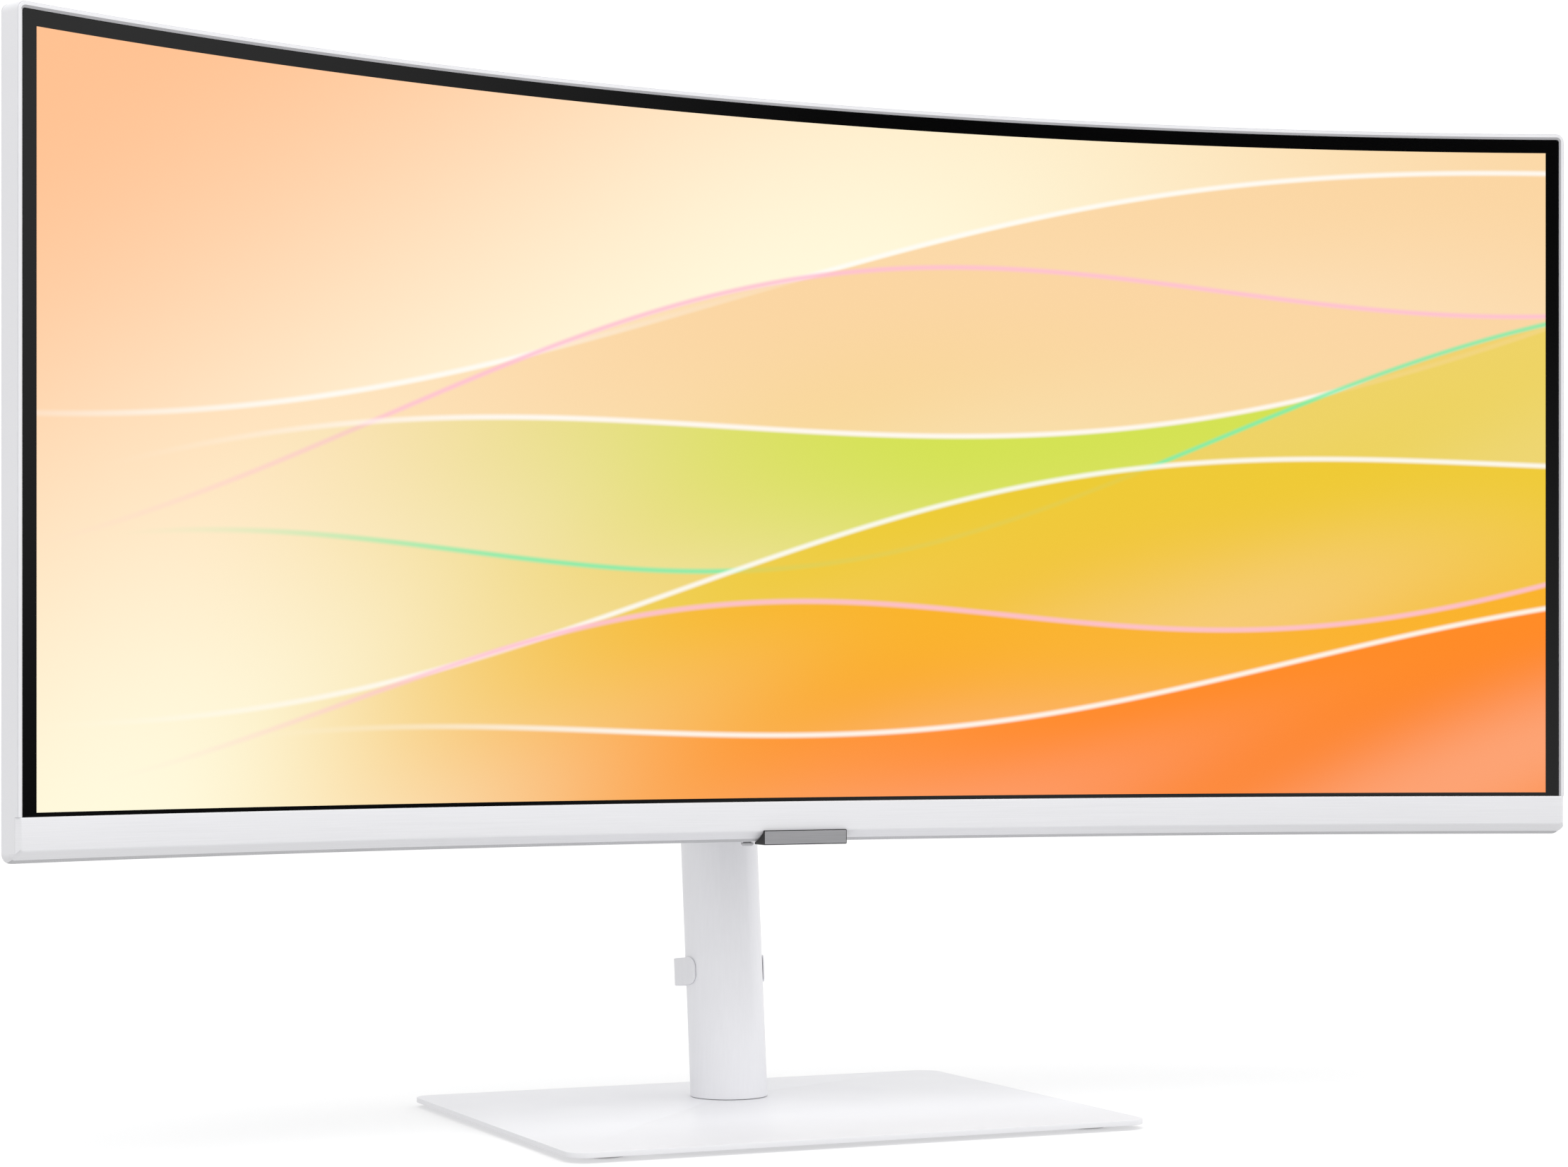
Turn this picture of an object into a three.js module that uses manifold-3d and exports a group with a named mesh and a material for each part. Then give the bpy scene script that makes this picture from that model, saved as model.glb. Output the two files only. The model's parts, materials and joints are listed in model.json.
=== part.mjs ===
// A 34-inch curved computer monitor on a height-adjustable stand.
// Millimetres, +Z up, +X to the viewer's right, the screen faces -Y.
// The origin is on the desk, under the middle of the whole monitor's outline.
import * as THREE from 'three';
import { mergeVertices } from 'three/addons/utils/BufferGeometryUtils.js';
import Module from 'manifold-3d';

const wasm = await Module();
wasm.setup();

// ---- Driving dimensions ----

// Stand: a flat plate, and a round column that leans back from its foot.
const BASE_WIDTH = 300;
const BASE_DEPTH = 250;
const BASE_CORNER = 11;
const BASE_TOP = 5;
const BASE_THICKNESS = 2.4;
const FOOT_Y = 55;
const LEAN = THREE.MathUtils.degToRad(6);
const COLUMN_R = 20;
const COLUMN_WALL = 2.8;
const COLUMN_LENGTH = 412;
const SWIVEL_PIN_R = 8;
const CLIP_HEIGHT = 14.3;
const CLIP_Z = 69;
const DRUM_R = 8;
const DRUM_Z = 396;

// Head: its own frame has its origin at the middle of the picture, on the glass.
const HEAD_Y = -42.27;
const HEAD_Z = 329.75;
const CURVE_RADIUS = 1000;
const PICTURE_HALF_ARC = 398.6;
const PICTURE_HALF_HEIGHT = 166.85;
const BORDER = 7.1;
const BORDER_BELOW = 1.9;
const RIM = 2.5;
const RIM_DEPTH = 11.5;
const CHIN_FACE = 14.6;
const CHIN_CHAMFER = 3.8;
const CHIN_PROUD = 1.2;
const COVER_WALL = 2.2;
const COVER_DEPTH = 42;
const GAP = 0.3;

// Tilt hinge, in the head's frame, and the standard four-hole mounting square.
const HINGE_Y = 72.27;
const HINGE_PIN_R = 5;
const MOUNT_SQUARE = 100;

// Facets of the curved pieces meet at every multiple of this arc length.
const FACET = 34;

// ---- Measures that follow from them ----

const PANEL_HALF = PICTURE_HALF_ARC + BORDER;
const HEAD_HALF = PANEL_HALF + RIM;
const PANEL_TOP = PICTURE_HALF_HEIGHT + BORDER;
const HEAD_TOP = PANEL_TOP + RIM + 0.45;
const CHIN_TOP = -PICTURE_HALF_HEIGHT - BORDER_BELOW;
const CHIN_LOW = CHIN_TOP - CHIN_FACE;
const CHAMFER_LOW = CHIN_LOW - CHIN_CHAMFER;
const HEAD_LOW = CHAMFER_LOW - 1.6;
const COVER_FRONT = RIM_DEPTH + GAP;
const HALF_TURN = Math.PI;

// ---- Making and joining solids ----

/** A manifold solid from any closed three.js geometry. */
function solid(geometry) {
  const bare = geometry.clone();
  bare.deleteAttribute('normal');
  bare.deleteAttribute('uv');
  const merged = mergeVertices(bare, 1e-4);
  const points = merged.attributes.position.array;
  const triangles = [];
  for (let i = 0; i < merged.index.count; i += 3) {
    const [a, b, c] = merged.index.array.slice(i, i + 3);
    if (a !== b && b !== c && c !== a) triangles.push(a, b, c);
  }
  if (signedVolume(points, triangles) < 0) triangles.reverse();
  return new wasm.Manifold(new wasm.Mesh({
    numProp: 3,
    vertProperties: new Float32Array(points),
    triVerts: new Uint32Array(triangles),
  }));
}

function signedVolume(points, triangles) {
  const corner = (i) => new THREE.Vector3().fromArray(points, 3 * triangles[i]);
  let six = 0;
  for (let i = 0; i < triangles.length; i += 3) {
    six += corner(i).dot(corner(i + 1).cross(corner(i + 2)));
  }
  return six / 6;
}

function geometryOf(manifold) {
  const mesh = manifold.getMesh();
  const geometry = new THREE.BufferGeometry();
  geometry.setAttribute('position', new THREE.BufferAttribute(new Float32Array(mesh.vertProperties), 3));
  geometry.setIndex(new THREE.BufferAttribute(new Uint32Array(mesh.triVerts), 1));
  geometry.computeVertexNormals();
  return geometry;
}

const join = (first, ...rest) => rest.reduce((whole, piece) => whole.add(piece), first);
const cut = (first, ...rest) => rest.reduce((whole, piece) => whole.subtract(piece), first);

/** A straight block between two corners. */
function block(x0, x1, y0, y1, z0, z1) {
  const geometry = new THREE.BoxGeometry(x1 - x0, y1 - y0, z1 - z0);
  return solid(geometry.translate((x0 + x1) / 2, (y0 + y1) / 2, (z0 + z1) / 2));
}

/** A round bar along an axis, from one end to the other, about a centre line through `at`. */
function bar(axis, radius, from, to, at = [0, 0, 0], sides = 24) {
  const geometry = new THREE.CylinderGeometry(radius, radius, to - from, sides);
  geometry.translate(0, (from + to) / 2, 0);
  if (axis === 'x') geometry.rotateZ(-HALF_TURN / 2);
  if (axis === 'z') geometry.rotateX(HALF_TURN / 2);
  return solid(geometry.translate(...at));
}

/** A turned piece about +Z, from its half-section of [radius, height] points. */
function turned(section, sides = 24) {
  const profile = section.map(([r, z]) => new THREE.Vector2(r, z));
  return solid(new THREE.LatheGeometry(profile, sides).rotateX(HALF_TURN / 2));
}

/** A flat ring about +Z. */
function washer(boreR, outerR, low, high) {
  return turned([[boreR, low], [outerR, low], [outerR, high], [boreR, high], [boreR, low]]);
}

/** A plate with its outline in the YZ plane, [y, z] points, between two X stations. */
function sidePlate(outline, x0, x1) {
  const shape = new THREE.Shape(outline.map(([y, z]) => new THREE.Vector2(y, z)));
  const geometry = new THREE.ExtrudeGeometry(shape, { depth: x1 - x0, bevelEnabled: false });
  geometry.applyMatrix4(new THREE.Matrix4().makeBasis(
    new THREE.Vector3(0, 1, 0), new THREE.Vector3(0, 0, 1), new THREE.Vector3(1, 0, 0)));
  return solid(geometry.translate(x0, 0, 0));
}

function roundedRectangle(width, depth, radius) {
  const x = width / 2 - radius;
  const y = depth / 2 - radius;
  const shape = new THREE.Shape();
  shape.absarc(x, y, radius, 0, HALF_TURN / 2);
  shape.absarc(-x, y, radius, HALF_TURN / 2, HALF_TURN);
  shape.absarc(-x, -y, radius, HALF_TURN, 1.5 * HALF_TURN);
  shape.absarc(x, -y, radius, 1.5 * HALF_TURN, 2 * HALF_TURN);
  return shape;
}

// ---- Curved solids: points are [arc, depth behind the glass, height] until bent ----

/** Arc stations from one end to the other, with one at each facet line between them. */
function stations(from, to) {
  const inside = [];
  for (let s = Math.ceil(from / FACET) * FACET; s < to; s += FACET) {
    if (s > from) inside.push(s);
  }
  return [from, ...inside, to];
}

/** Wrap a geometry of [arc, depth, height] points round the curve of the screen. */
function bend(geometry) {
  const points = geometry.attributes.position;
  for (let i = 0; i < points.count; i += 1) {
    const angle = points.getX(i) / CURVE_RADIUS;
    const reach = CURVE_RADIUS + points.getY(i);
    points.setXYZ(i, reach * Math.sin(angle), reach * Math.cos(angle) - CURVE_RADIUS, points.getZ(i));
  }
  return solid(geometry);
}

/** A slab that follows the curve. */
function curvedBlock(s0, s1, depth0, depth1, height0, height1) {
  const along = stations(s0, s1);
  const count = along.length - 1;
  const geometry = new THREE.BoxGeometry(count, depth1 - depth0, height1 - height0, count, 1, 1);
  geometry.translate(count / 2, (depth0 + depth1) / 2, (height0 + height1) / 2);
  const points = geometry.attributes.position;
  for (let i = 0; i < points.count; i += 1) points.setX(i, along[Math.round(points.getX(i))]);
  return bend(geometry);
}

/** A section of [depth, height] points swept along the curve. `shapeAt` may reshape it on the way. */
function curvedSweep(section, s0, s1, shapeAt = (s, depth) => [s, depth]) {
  const along = stations(s0, s1);
  const steps = along.length - 1;
  const shape = new THREE.Shape(section.map(([depth, height]) => new THREE.Vector2(depth, height)));
  const geometry = new THREE.ExtrudeGeometry(shape, { depth: steps, steps, bevelEnabled: false });
  const points = geometry.attributes.position;
  for (let i = 0; i < points.count; i += 1) {
    const height = points.getY(i);
    const [s, depth] = shapeAt(along[Math.round(points.getZ(i))], points.getX(i));
    points.setXYZ(i, s, depth, height);
  }
  return bend(geometry);
}

/** A group whose X runs along the curve and whose Y points straight back, at one arc station. */
function tangentGroup(s) {
  const group = new THREE.Group();
  const angle = s / CURVE_RADIUS;
  group.position.set(CURVE_RADIUS * Math.sin(angle), CURVE_RADIUS * (Math.cos(angle) - 1), 0);
  group.rotation.z = -angle;
  group.updateMatrix();
  return group;
}

/** The same placing for a solid that cuts another one. */
function atStation(s, piece) {
  return solid(geometryOf(piece).applyMatrix4(tangentGroup(s).matrix));
}

// ---- The scene ----

const monitor = new THREE.Group();
const foot = new THREE.Group();
foot.position.set(0, FOOT_Y, 0);
const column = new THREE.Group();
column.position.set(0, FOOT_Y, 0);
column.rotation.x = -LEAN;
const head = new THREE.Group();
head.position.set(0, HEAD_Y, HEAD_Z);
monitor.add(foot, column, head);

const FINISHES = {
  white: [0xe9e9ec, 0.5, 0],
  whitePaint: [0xe6e6e9, 0.45, 0.1],
  greyPlastic: [0x8d8d92, 0.6, 0],
  blackPlastic: [0x121214, 0.55, 0],
  rubber: [0x2b2b2d, 0.9, 0],
  steel: [0xa9abb0, 0.35, 0.9],
  aluminium: [0xb9bcc2, 0.4, 0.9],
  glass: [0x060608, 0.25, 0],
  film: [0xf4f4f6, 0.6, 0],
  acrylic: [0xe8f1f4, 0.15, 0],
  board: [0x17502f, 0.6, 0],
  badge: [0xa0a1a6, 0.35, 0.8],
};

function add(group, name, piece, finish) {
  const [color, roughness, metalness] = FINISHES[finish];
  const material = new THREE.MeshStandardMaterial({ color, roughness, metalness });
  const mesh = new THREE.Mesh(geometryOf(piece), material);
  mesh.name = name;
  group.add(mesh);
}

// ---- Base ----

function addBase() {
  const plate = roundedRectangle(BASE_WIDTH, BASE_DEPTH, BASE_CORNER);
  const hole = new THREE.Path();
  hole.absarc(0, FOOT_Y, 3.4, 0, 2 * HALF_TURN);
  plate.holes.push(hole);
  const geometry = new THREE.ExtrudeGeometry(plate, {
    depth: BASE_THICKNESS, bevelEnabled: false, curveSegments: 8,
  });
  add(monitor, 'base_plate', solid(geometry.translate(0, 0, BASE_TOP - BASE_THICKNESS)), 'whitePaint');
  const padTop = BASE_TOP - BASE_THICKNESS - 0.1;
  const pads = { front_left: [-1, -1], front_right: [1, -1], rear_left: [-1, 1], rear_right: [1, 1] };
  for (const [place, [x, y]] of Object.entries(pads)) {
    const centre = [x * (BASE_WIDTH / 2 - 24), y * (BASE_DEPTH / 2 - 24), 0];
    add(monitor, `foot_pad_${place}`, bar('z', 10, 0, padTop, centre, 24), 'rubber');
  }
}

/** The upright pin that the column turns on, and what holds it down. */
function addSwivelBearing() {
  const seat = BASE_TOP + 0.2;
  const shoulder = 44.8;
  const threadTop = 53;
  add(foot, 'swivel_post', turned([
    [0, 22], [3.2, 22], [3.2, seat], [15, seat], [15, seat + 2.8], [SWIVEL_PIN_R, seat + 2.8],
    [SWIVEL_PIN_R, shoulder], [5, shoulder], [5, threadTop], [0, threadTop],
  ]), 'steel');
  const screwTop = 20;
  add(foot, 'base_screw', turned([
    [0, 0.5], [9, 0.5], [9, 2.3], [2.9, 2.3], [2.9, screwTop], [0, screwTop],
  ]), 'steel');
  add(foot, 'slide_washer', washer(8.5, 14.5, 8.3, 9.3), 'greyPlastic');
  const leaning = solid(
    new THREE.CylinderGeometry(16.9, 16.9, 120, 48).rotateX(HALF_TURN / 2 - LEAN));
  const slab = block(-30, 30, -30, 30, 9.6, 45.2);
  const bore = bar('z', SWIVEL_PIN_R + 0.3, 0, 60);
  add(foot, 'column_foot', leaning.intersect(slab).subtract(bore), 'aluminium');
  add(foot, 'spring_washer', washer(5.4, 12, 45.5, 46.6), 'steel');
  const nut = bar('z', 8.5, 46.9, 52.5, [0, 0, 0], 6);
  add(foot, 'swivel_nut', cut(nut, bar('z', 5.3, 40, 60)), 'steel');
}

// ---- Column, and what slides in it ----

const CARRIAGE_Z = HEAD_Z / Math.cos(LEAN);
const HINGE_IN_COLUMN = hingeInColumnFrame();

/** The tilt hinge's [y, z] in the leaning column's frame. */
function hingeInColumnFrame() {
  const y = HEAD_Y + HINGE_Y - FOOT_Y;
  return [
    y * Math.cos(LEAN) - HEAD_Z * Math.sin(LEAN),
    y * Math.sin(LEAN) + HEAD_Z * Math.cos(LEAN),
  ];
}

function addColumn() {
  const inner = COLUMN_R - COLUMN_WALL;
  const tube = cut(bar('z', COLUMN_R, -8, COLUMN_LENGTH, [0, 0, 0], 64),
    bar('z', inner, -10, COLUMN_LENGTH + 2, [0, 0, 0], 48));
  const below = new THREE.BoxGeometry(80, 80, 40).translate(0, 0, BASE_TOP + GAP - 20).rotateX(LEAN);
  const slotLow = 206;
  const slotHigh = 387;
  const slotR = 7.5;
  const slot = join(block(-slotR, slotR, -30, -8, slotLow + slotR, slotHigh - slotR),
    bar('y', slotR, -30, -8, [0, 0, slotLow + slotR], 24),
    bar('y', slotR, -30, -8, [0, 0, slotHigh - slotR], 24));
  add(column, 'column_tube', cut(tube, solid(below), slot), 'whitePaint');
  const capSeat = COLUMN_LENGTH + GAP;
  add(column, 'column_cap', turned([
    [0, capSeat + 2.7], [COLUMN_R - 1.5, capSeat + 2.7], [COLUMN_R, capSeat + 1.2], [COLUMN_R, capSeat],
    [inner - 0.4, capSeat], [inner - 0.4, capSeat - 6], [inner - 2, capSeat - 6], [inner - 2, capSeat - 1],
    [0, capSeat - 1],
  ], 40), 'white');
  add(column, 'guide_rail', block(-6, 6, 10.5, 15.5, 62, 400), 'aluminium');
}

function addLift() {
  const body = block(-9, 9, -12, 14, CARRIAGE_Z - 25, CARRIAGE_Z + 25);
  const channel = block(-6.4, 6.4, 10.1, 15, CARRIAGE_Z - 30, CARRIAGE_Z + 30);
  const tongue = block(-6.5, 6.5, -24, -11, CARRIAGE_Z - 20, CARRIAGE_Z + 20);
  const flange = block(-17, 17, -26, -22, CARRIAGE_Z - 22, CARRIAGE_Z + 22);
  const bores = [-12, 12].map((x) => bar('y', 2.1, -30, -20, [x, 0, CARRIAGE_Z], 16));
  add(column, 'carriage', cut(join(body, tongue, flange), channel, ...bores), 'greyPlastic');

  const [hingeY, hingeZ] = HINGE_IN_COLUMN;
  const face = -26 - GAP;
  const plate = block(-17, 17, face - 4, face, CARRIAGE_Z - 22, CARRIAGE_Z + 22);
  const web = sidePlate([
    [face - 3, CARRIAGE_Z - 20], [face - 3, CARRIAGE_Z + 20], [hingeY + 4, hingeZ + 11],
    [hingeY, hingeZ + 11], [hingeY, hingeZ - 11], [hingeY + 4, hingeZ - 11],
  ], -7.5, 7.5);
  const barrel = bar('x', 12, -18, 18, [0, hingeY, hingeZ]);
  const through = bar('x', HINGE_PIN_R + 0.25, -20, 20, [0, hingeY, hingeZ]);
  const holes = [-12, 12].map((x) => bar('y', 2.3, -40, -20, [x, 0, CARRIAGE_Z], 16));
  add(column, 'lift_arm', cut(join(plate, web, barrel), through, ...holes), 'whitePaint');
  for (const [side, x] of [['left', -12], ['right', 12]]) {
    const shank = bar('y', 1.8, -33, -22.5, [x, 0, CARRIAGE_Z], 16);
    const cap = bar('y', 3.8, -33.4, face - 4 - GAP, [x, 0, CARRIAGE_Z], 16);
    add(column, `arm_screw_${side}`, join(shank, cap), 'steel');
  }
  for (const [side, x] of [['left', -20.1], ['right', 18.3]]) {
    const at = [0, hingeY, hingeZ];
    const disc = cut(bar('x', 12, x, x + 1.8, at), bar('x', HINGE_PIN_R + 0.25, x - 1, x + 3, at));
    add(column, `friction_disc_${side}`, disc, 'greyPlastic');
  }
}

/** The wound counterbalance spring at the top of the column, and its ribbon to the carriage. */
function addCounterbalance() {
  const at = [0, 0, DRUM_Z];
  add(column, 'drum_axle', bar('x', 1.5, -16.6, 16.6, at, 16), 'steel');
  add(column, 'spring_drum', cut(bar('x', DRUM_R, -5, 5, at), bar('x', 1.8, -6, 6, at, 24)), 'steel');
  const carriageTop = CARRIAGE_Z + 25 + GAP;
  add(column, 'spring_ribbon', block(-4, 4, -DRUM_R - 0.7, -DRUM_R - 0.3, carriageTop, DRUM_Z), 'steel');
}

/** A hook round the back of the column that holds the cables against it. */
function addCableClip() {
  const low = CLIP_Z - CLIP_HEIGHT / 2;
  const high = CLIP_Z + CLIP_HEIGHT / 2;
  const loopCentre = [0, 10, 0];
  const loopHollow = bar('z', 20.5, low - 1, high + 1, loopCentre, 48);
  const loop = cut(bar('z', 22.5, low, high, loopCentre, 48), loopHollow);
  const lips = cut(bar('z', 21.9, low, high, [0, 0, 0], 64), block(-30, 30, 4, 40, low - 1, high + 1));
  const frontEdge = 20.8 * Math.cos(THREE.MathUtils.degToRad(63.5));
  const open = block(-40, 40, -60, -frontEdge, low - 1, high + 1);
  const room = bar('z', COLUMN_R + 0.25, low - 1, high + 1, [0, 0, 0], 64);
  add(column, 'cable_clip', cut(join(loop, lips), room, open), 'white');
}

// ---- Head: display, frame and shells ----

function addDisplay() {
  const inner = PANEL_HALF - 4.5;
  const sheetTop = PANEL_TOP - 4.5;
  const glass = curvedBlock(-PANEL_HALF + GAP, PANEL_HALF - GAP, 0, 1.2, -174, PANEL_TOP - GAP);
  add(head, 'lcd_panel', glass, 'glass');
  add(head, 'optical_sheets', curvedBlock(-inner, inner, 1.5, 2.3, -171.7, sheetTop), 'film');
  add(head, 'light_guide', curvedBlock(-inner, inner, 2.8, 5.1, -168.9, sheetTop), 'acrylic');
  add(head, 'led_bar', curvedBlock(-398, 398, 2.9, 5.0, -175.5, -169.2), 'aluminium');
  const tray = curvedBlock(-404.5, 404.5, 2.9, 6.6, -178.5, 173);
  const hollow = curvedBlock(-403.3, 403.3, 2.0, 5.4, -177.3, 171.8);
  add(head, 'backlight_chassis', cut(tray, hollow), 'steel');
}

/** The white ring that holds the display, with a step behind the glass. */
function addMidFrame() {
  const outer = curvedBlock(-HEAD_HALF, HEAD_HALF, -0.6, RIM_DEPTH, CHAMFER_LOW, HEAD_TOP);
  const frontPocket = curvedBlock(-PANEL_HALF, PANEL_HALF, -2, 1.5, -190, PANEL_TOP);
  const window = curvedBlock(-PANEL_HALF + 4.2, PANEL_HALF - 4.2, 1, 3, -172, PANEL_TOP - 4.2);
  const rearPocket = curvedBlock(-PANEL_HALF, PANEL_HALF, 2.5, 13, CHAMFER_LOW + 2.2, PANEL_TOP);
  const chinFace = curvedBlock(-410, 410, -2, 0.9, -190, CHIN_TOP + GAP);
  const chinFoot = curvedBlock(-410, 410, -2, 6.2, -190, CHIN_LOW + 1.3);
  add(head, 'mid_frame', cut(outer, frontPocket, window, rearPocket, chinFace, chinFoot), 'white');
}

/** The strip below the picture. Its foot slopes back, and its ends are cut across. */
function addChin() {
  const strip = curvedSweep([
    [-CHIN_PROUD, CHIN_TOP], [-CHIN_PROUD, CHIN_LOW], [5.8, CHAMFER_LOW], [5.8, CHIN_LOW + 1],
    [0.6, CHIN_LOW + 1], [0.6, -174.3], [-GAP, -174.3], [-GAP, CHIN_TOP],
  ], -HEAD_HALF + GAP, HEAD_HALF - GAP);
  const ends = [-1, 1].flatMap((side) => [cornerWedge(side), endBevel(side)]);
  add(head, 'chin_bezel', cut(strip, ...ends), 'white');
}

/** What is cut off a lower corner of the chin: a triangle in the plane of the screen. */
function cornerWedge(side) {
  const shape = new THREE.Shape([
    new THREE.Vector2(side * 403.4, -190), new THREE.Vector2(side * 412, -190),
    new THREE.Vector2(side * 412, -180), new THREE.Vector2(side * 408.2, CHIN_LOW),
    new THREE.Vector2(side * 403.4, CHAMFER_LOW),
  ]);
  const geometry = new THREE.ExtrudeGeometry(shape, { depth: 10, bevelEnabled: false });
  return bend(geometry.rotateX(HALF_TURN / 2).translate(0, 7, 0));
}

/** What is cut off an end of the chin's face so that it rolls over to the side wall. */
function endBevel(side) {
  const shape = new THREE.Shape([
    new THREE.Vector2(side * 405.3, -CHIN_PROUD), new THREE.Vector2(side * 405.3, -4),
    new THREE.Vector2(side * 412, -4), new THREE.Vector2(side * 412, 2),
    new THREE.Vector2(side * 408.2, 0.1),
  ]);
  const geometry = new THREE.ExtrudeGeometry(shape, { depth: 40, bevelEnabled: false });
  return bend(geometry.translate(0, 0, -200));
}

const BADGE_HALF = 22.3;

function addBadge() {
  const low = -190.05;
  const plate = curvedSweep([[-2.7, low], [-1.6, low], [-1.6, low + 7.2], [-2.7, low + 7.2]],
    -BADGE_HALF, BADGE_HALF);
  add(head, 'badge_plate', plate, 'badge');
  const holder = curvedSweep([
    [-1.3, -183.8], [-1.3, low], [9.8, low], [9.8, HEAD_LOW - 0.35], [5.9, CHAMFER_LOW - 0.65],
  ], -BADGE_HALF + GAP, BADGE_HALF - GAP);
  add(head, 'badge_holder', holder, 'blackPlastic');
}

// ---- Rear cover ----

/** The cover is deepest in the middle and draws in towards its left and right edges. */
function coverShape(s, depth) {
  if (depth <= COVER_FRONT) return [s, depth];
  const swell = 0.12 + 0.88 * (1 - Math.abs(s / HEAD_HALF) ** 3);
  const deeper = (depth - COVER_FRONT) * swell;
  return [s * (1 - 0.0029 * deeper), COVER_FRONT + deeper];
}

function addRearCover() {
  const outer = curvedSweep([
    [COVER_FRONT, HEAD_TOP], [COVER_FRONT, CHAMFER_LOW - 0.2], [6.1, CHAMFER_LOW - 0.2],
    [10.2, HEAD_LOW], [24, HEAD_LOW], [30, HEAD_LOW + 4.7],
    [38, -150], [COVER_DEPTH, -70], [COVER_DEPTH, 70], [36, 140], [24, 172], [16, 176.2],
  ], -HEAD_HALF, HEAD_HALF, coverShape);
  const wall = COVER_WALL;
  const inner = curvedSweep([
    [COVER_FRONT - 0.01, HEAD_TOP - wall], [COVER_FRONT - 0.01, HEAD_LOW + wall], [23.4, HEAD_LOW + wall],
    [28.2, HEAD_LOW + 6], [36, -149], [COVER_DEPTH - wall, -69.5], [COVER_DEPTH - wall, 69.5],
    [34, 139], [22.6, 170.2], [15.4, 174.2],
  ], -HEAD_HALF + wall, HEAD_HALF - wall, coverShape);
  const openings = [
    block(-62, 62, 30, 50, -62, 62),
    ...portCutouts(), ...ventSlots(), ...speakerSlots(),
    bar('z', 3.4, -200, -180, JOG_AT, 24),
  ];
  const corners = [-1, 1].map(coverCorner);
  add(head, 'rear_cover', cut(outer, inner, ...openings, ...corners), 'white');
}

/** The lower corners of the cover's front lip are cut across like the chin's. */
function coverCorner(side) {
  return side > 0 ? curvedBlock(403, 412, 5, COVER_FRONT + 0.2, -190, -185)
    : curvedBlock(-412, -403, 5, COVER_FRONT + 0.2, -190, -185);
}

function ventSlots() {
  const slots = [];
  for (let s = -184; s <= 184; s += 23) {
    slots.push(atStation(s, block(-8, 8, 20, 60, 130, 133)));
  }
  return slots;
}

const SPEAKER_ARC = 250;

function speakerSlots() {
  const slots = [];
  for (const centre of [-SPEAKER_ARC, SPEAKER_ARC]) {
    for (let step = -4; step <= 4; step += 1) {
      slots.push(atStation(centre + 9 * step, block(-2.5, 2.5, 14, 18, -195, -184)));
    }
  }
  return slots;
}

// ---- Electronics ----

function addBoards() {
  add(head, 'main_board', block(-100, 100, 22, 23.6, -150, -66), 'board');
  const power = tangentGroup(-190);
  head.add(power);
  const parts = [
    block(-66, 66, 22, 23.6, -110, -20), block(-20, 15, 23.5, 31, -60, -30),
    bar('y', 6, 23.5, 30, [-45, 0, -45], 16), bar('y', 6, 23.5, 30, [-45, 0, -62], 16),
    block(28, 55, 23.5, 31, -100, -70),
  ];
  add(power, 'power_board', join(...parts), 'board');
  for (const [side, s] of [['left', -SPEAKER_ARC], ['right', SPEAKER_ARC]]) {
    const place = tangentGroup(s);
    head.add(place);
    const box = block(-45, 45, 12.5, 20, -181, -163);
    const driver = bar('z', 3.2, -190, -176, [0, 16.2, 0], 24);
    add(place, `speaker_${side}`, cut(box, driver), 'blackPlastic');
  }
}

const PORT_ROW = -95;
const PORT_BACK = 24;
const PORT_MOUTH = 39.5;
// Name, centre along X, outer width and height, mouth width and height, tongue width and thickness.
const PORTS = [
  ['hdmi_port', -42, 15.5, 6.6, 14, 5, 10, 1.2],
  ['display_port', -18, 17.6, 6.6, 16, 5, 12, 1.2],
  ['usb_c_port', 2, 9.8, 4.2, 8.4, 2.8, 6.6, 0.8],
];

/** A socket in the port row: a shell with a mouth to the rear and a contact tongue inside it. */
function socket(centre, width, height, mouthWidth, mouthHeight, tongueWidth, tongue) {
  const boxAt = (w, h, from, to, lift = 0) =>
    block(centre - w / 2, centre + w / 2, from, to, PORT_ROW + lift - h / 2, PORT_ROW + lift + h / 2);
  const shell = cut(boxAt(width, height, PORT_BACK, PORT_MOUTH),
    boxAt(mouthWidth, mouthHeight, PORT_BACK + 3, PORT_MOUTH + 1));
  return join(shell, boxAt(tongueWidth, tongue, PORT_BACK + 2.5, PORT_MOUTH - 4));
}

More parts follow.
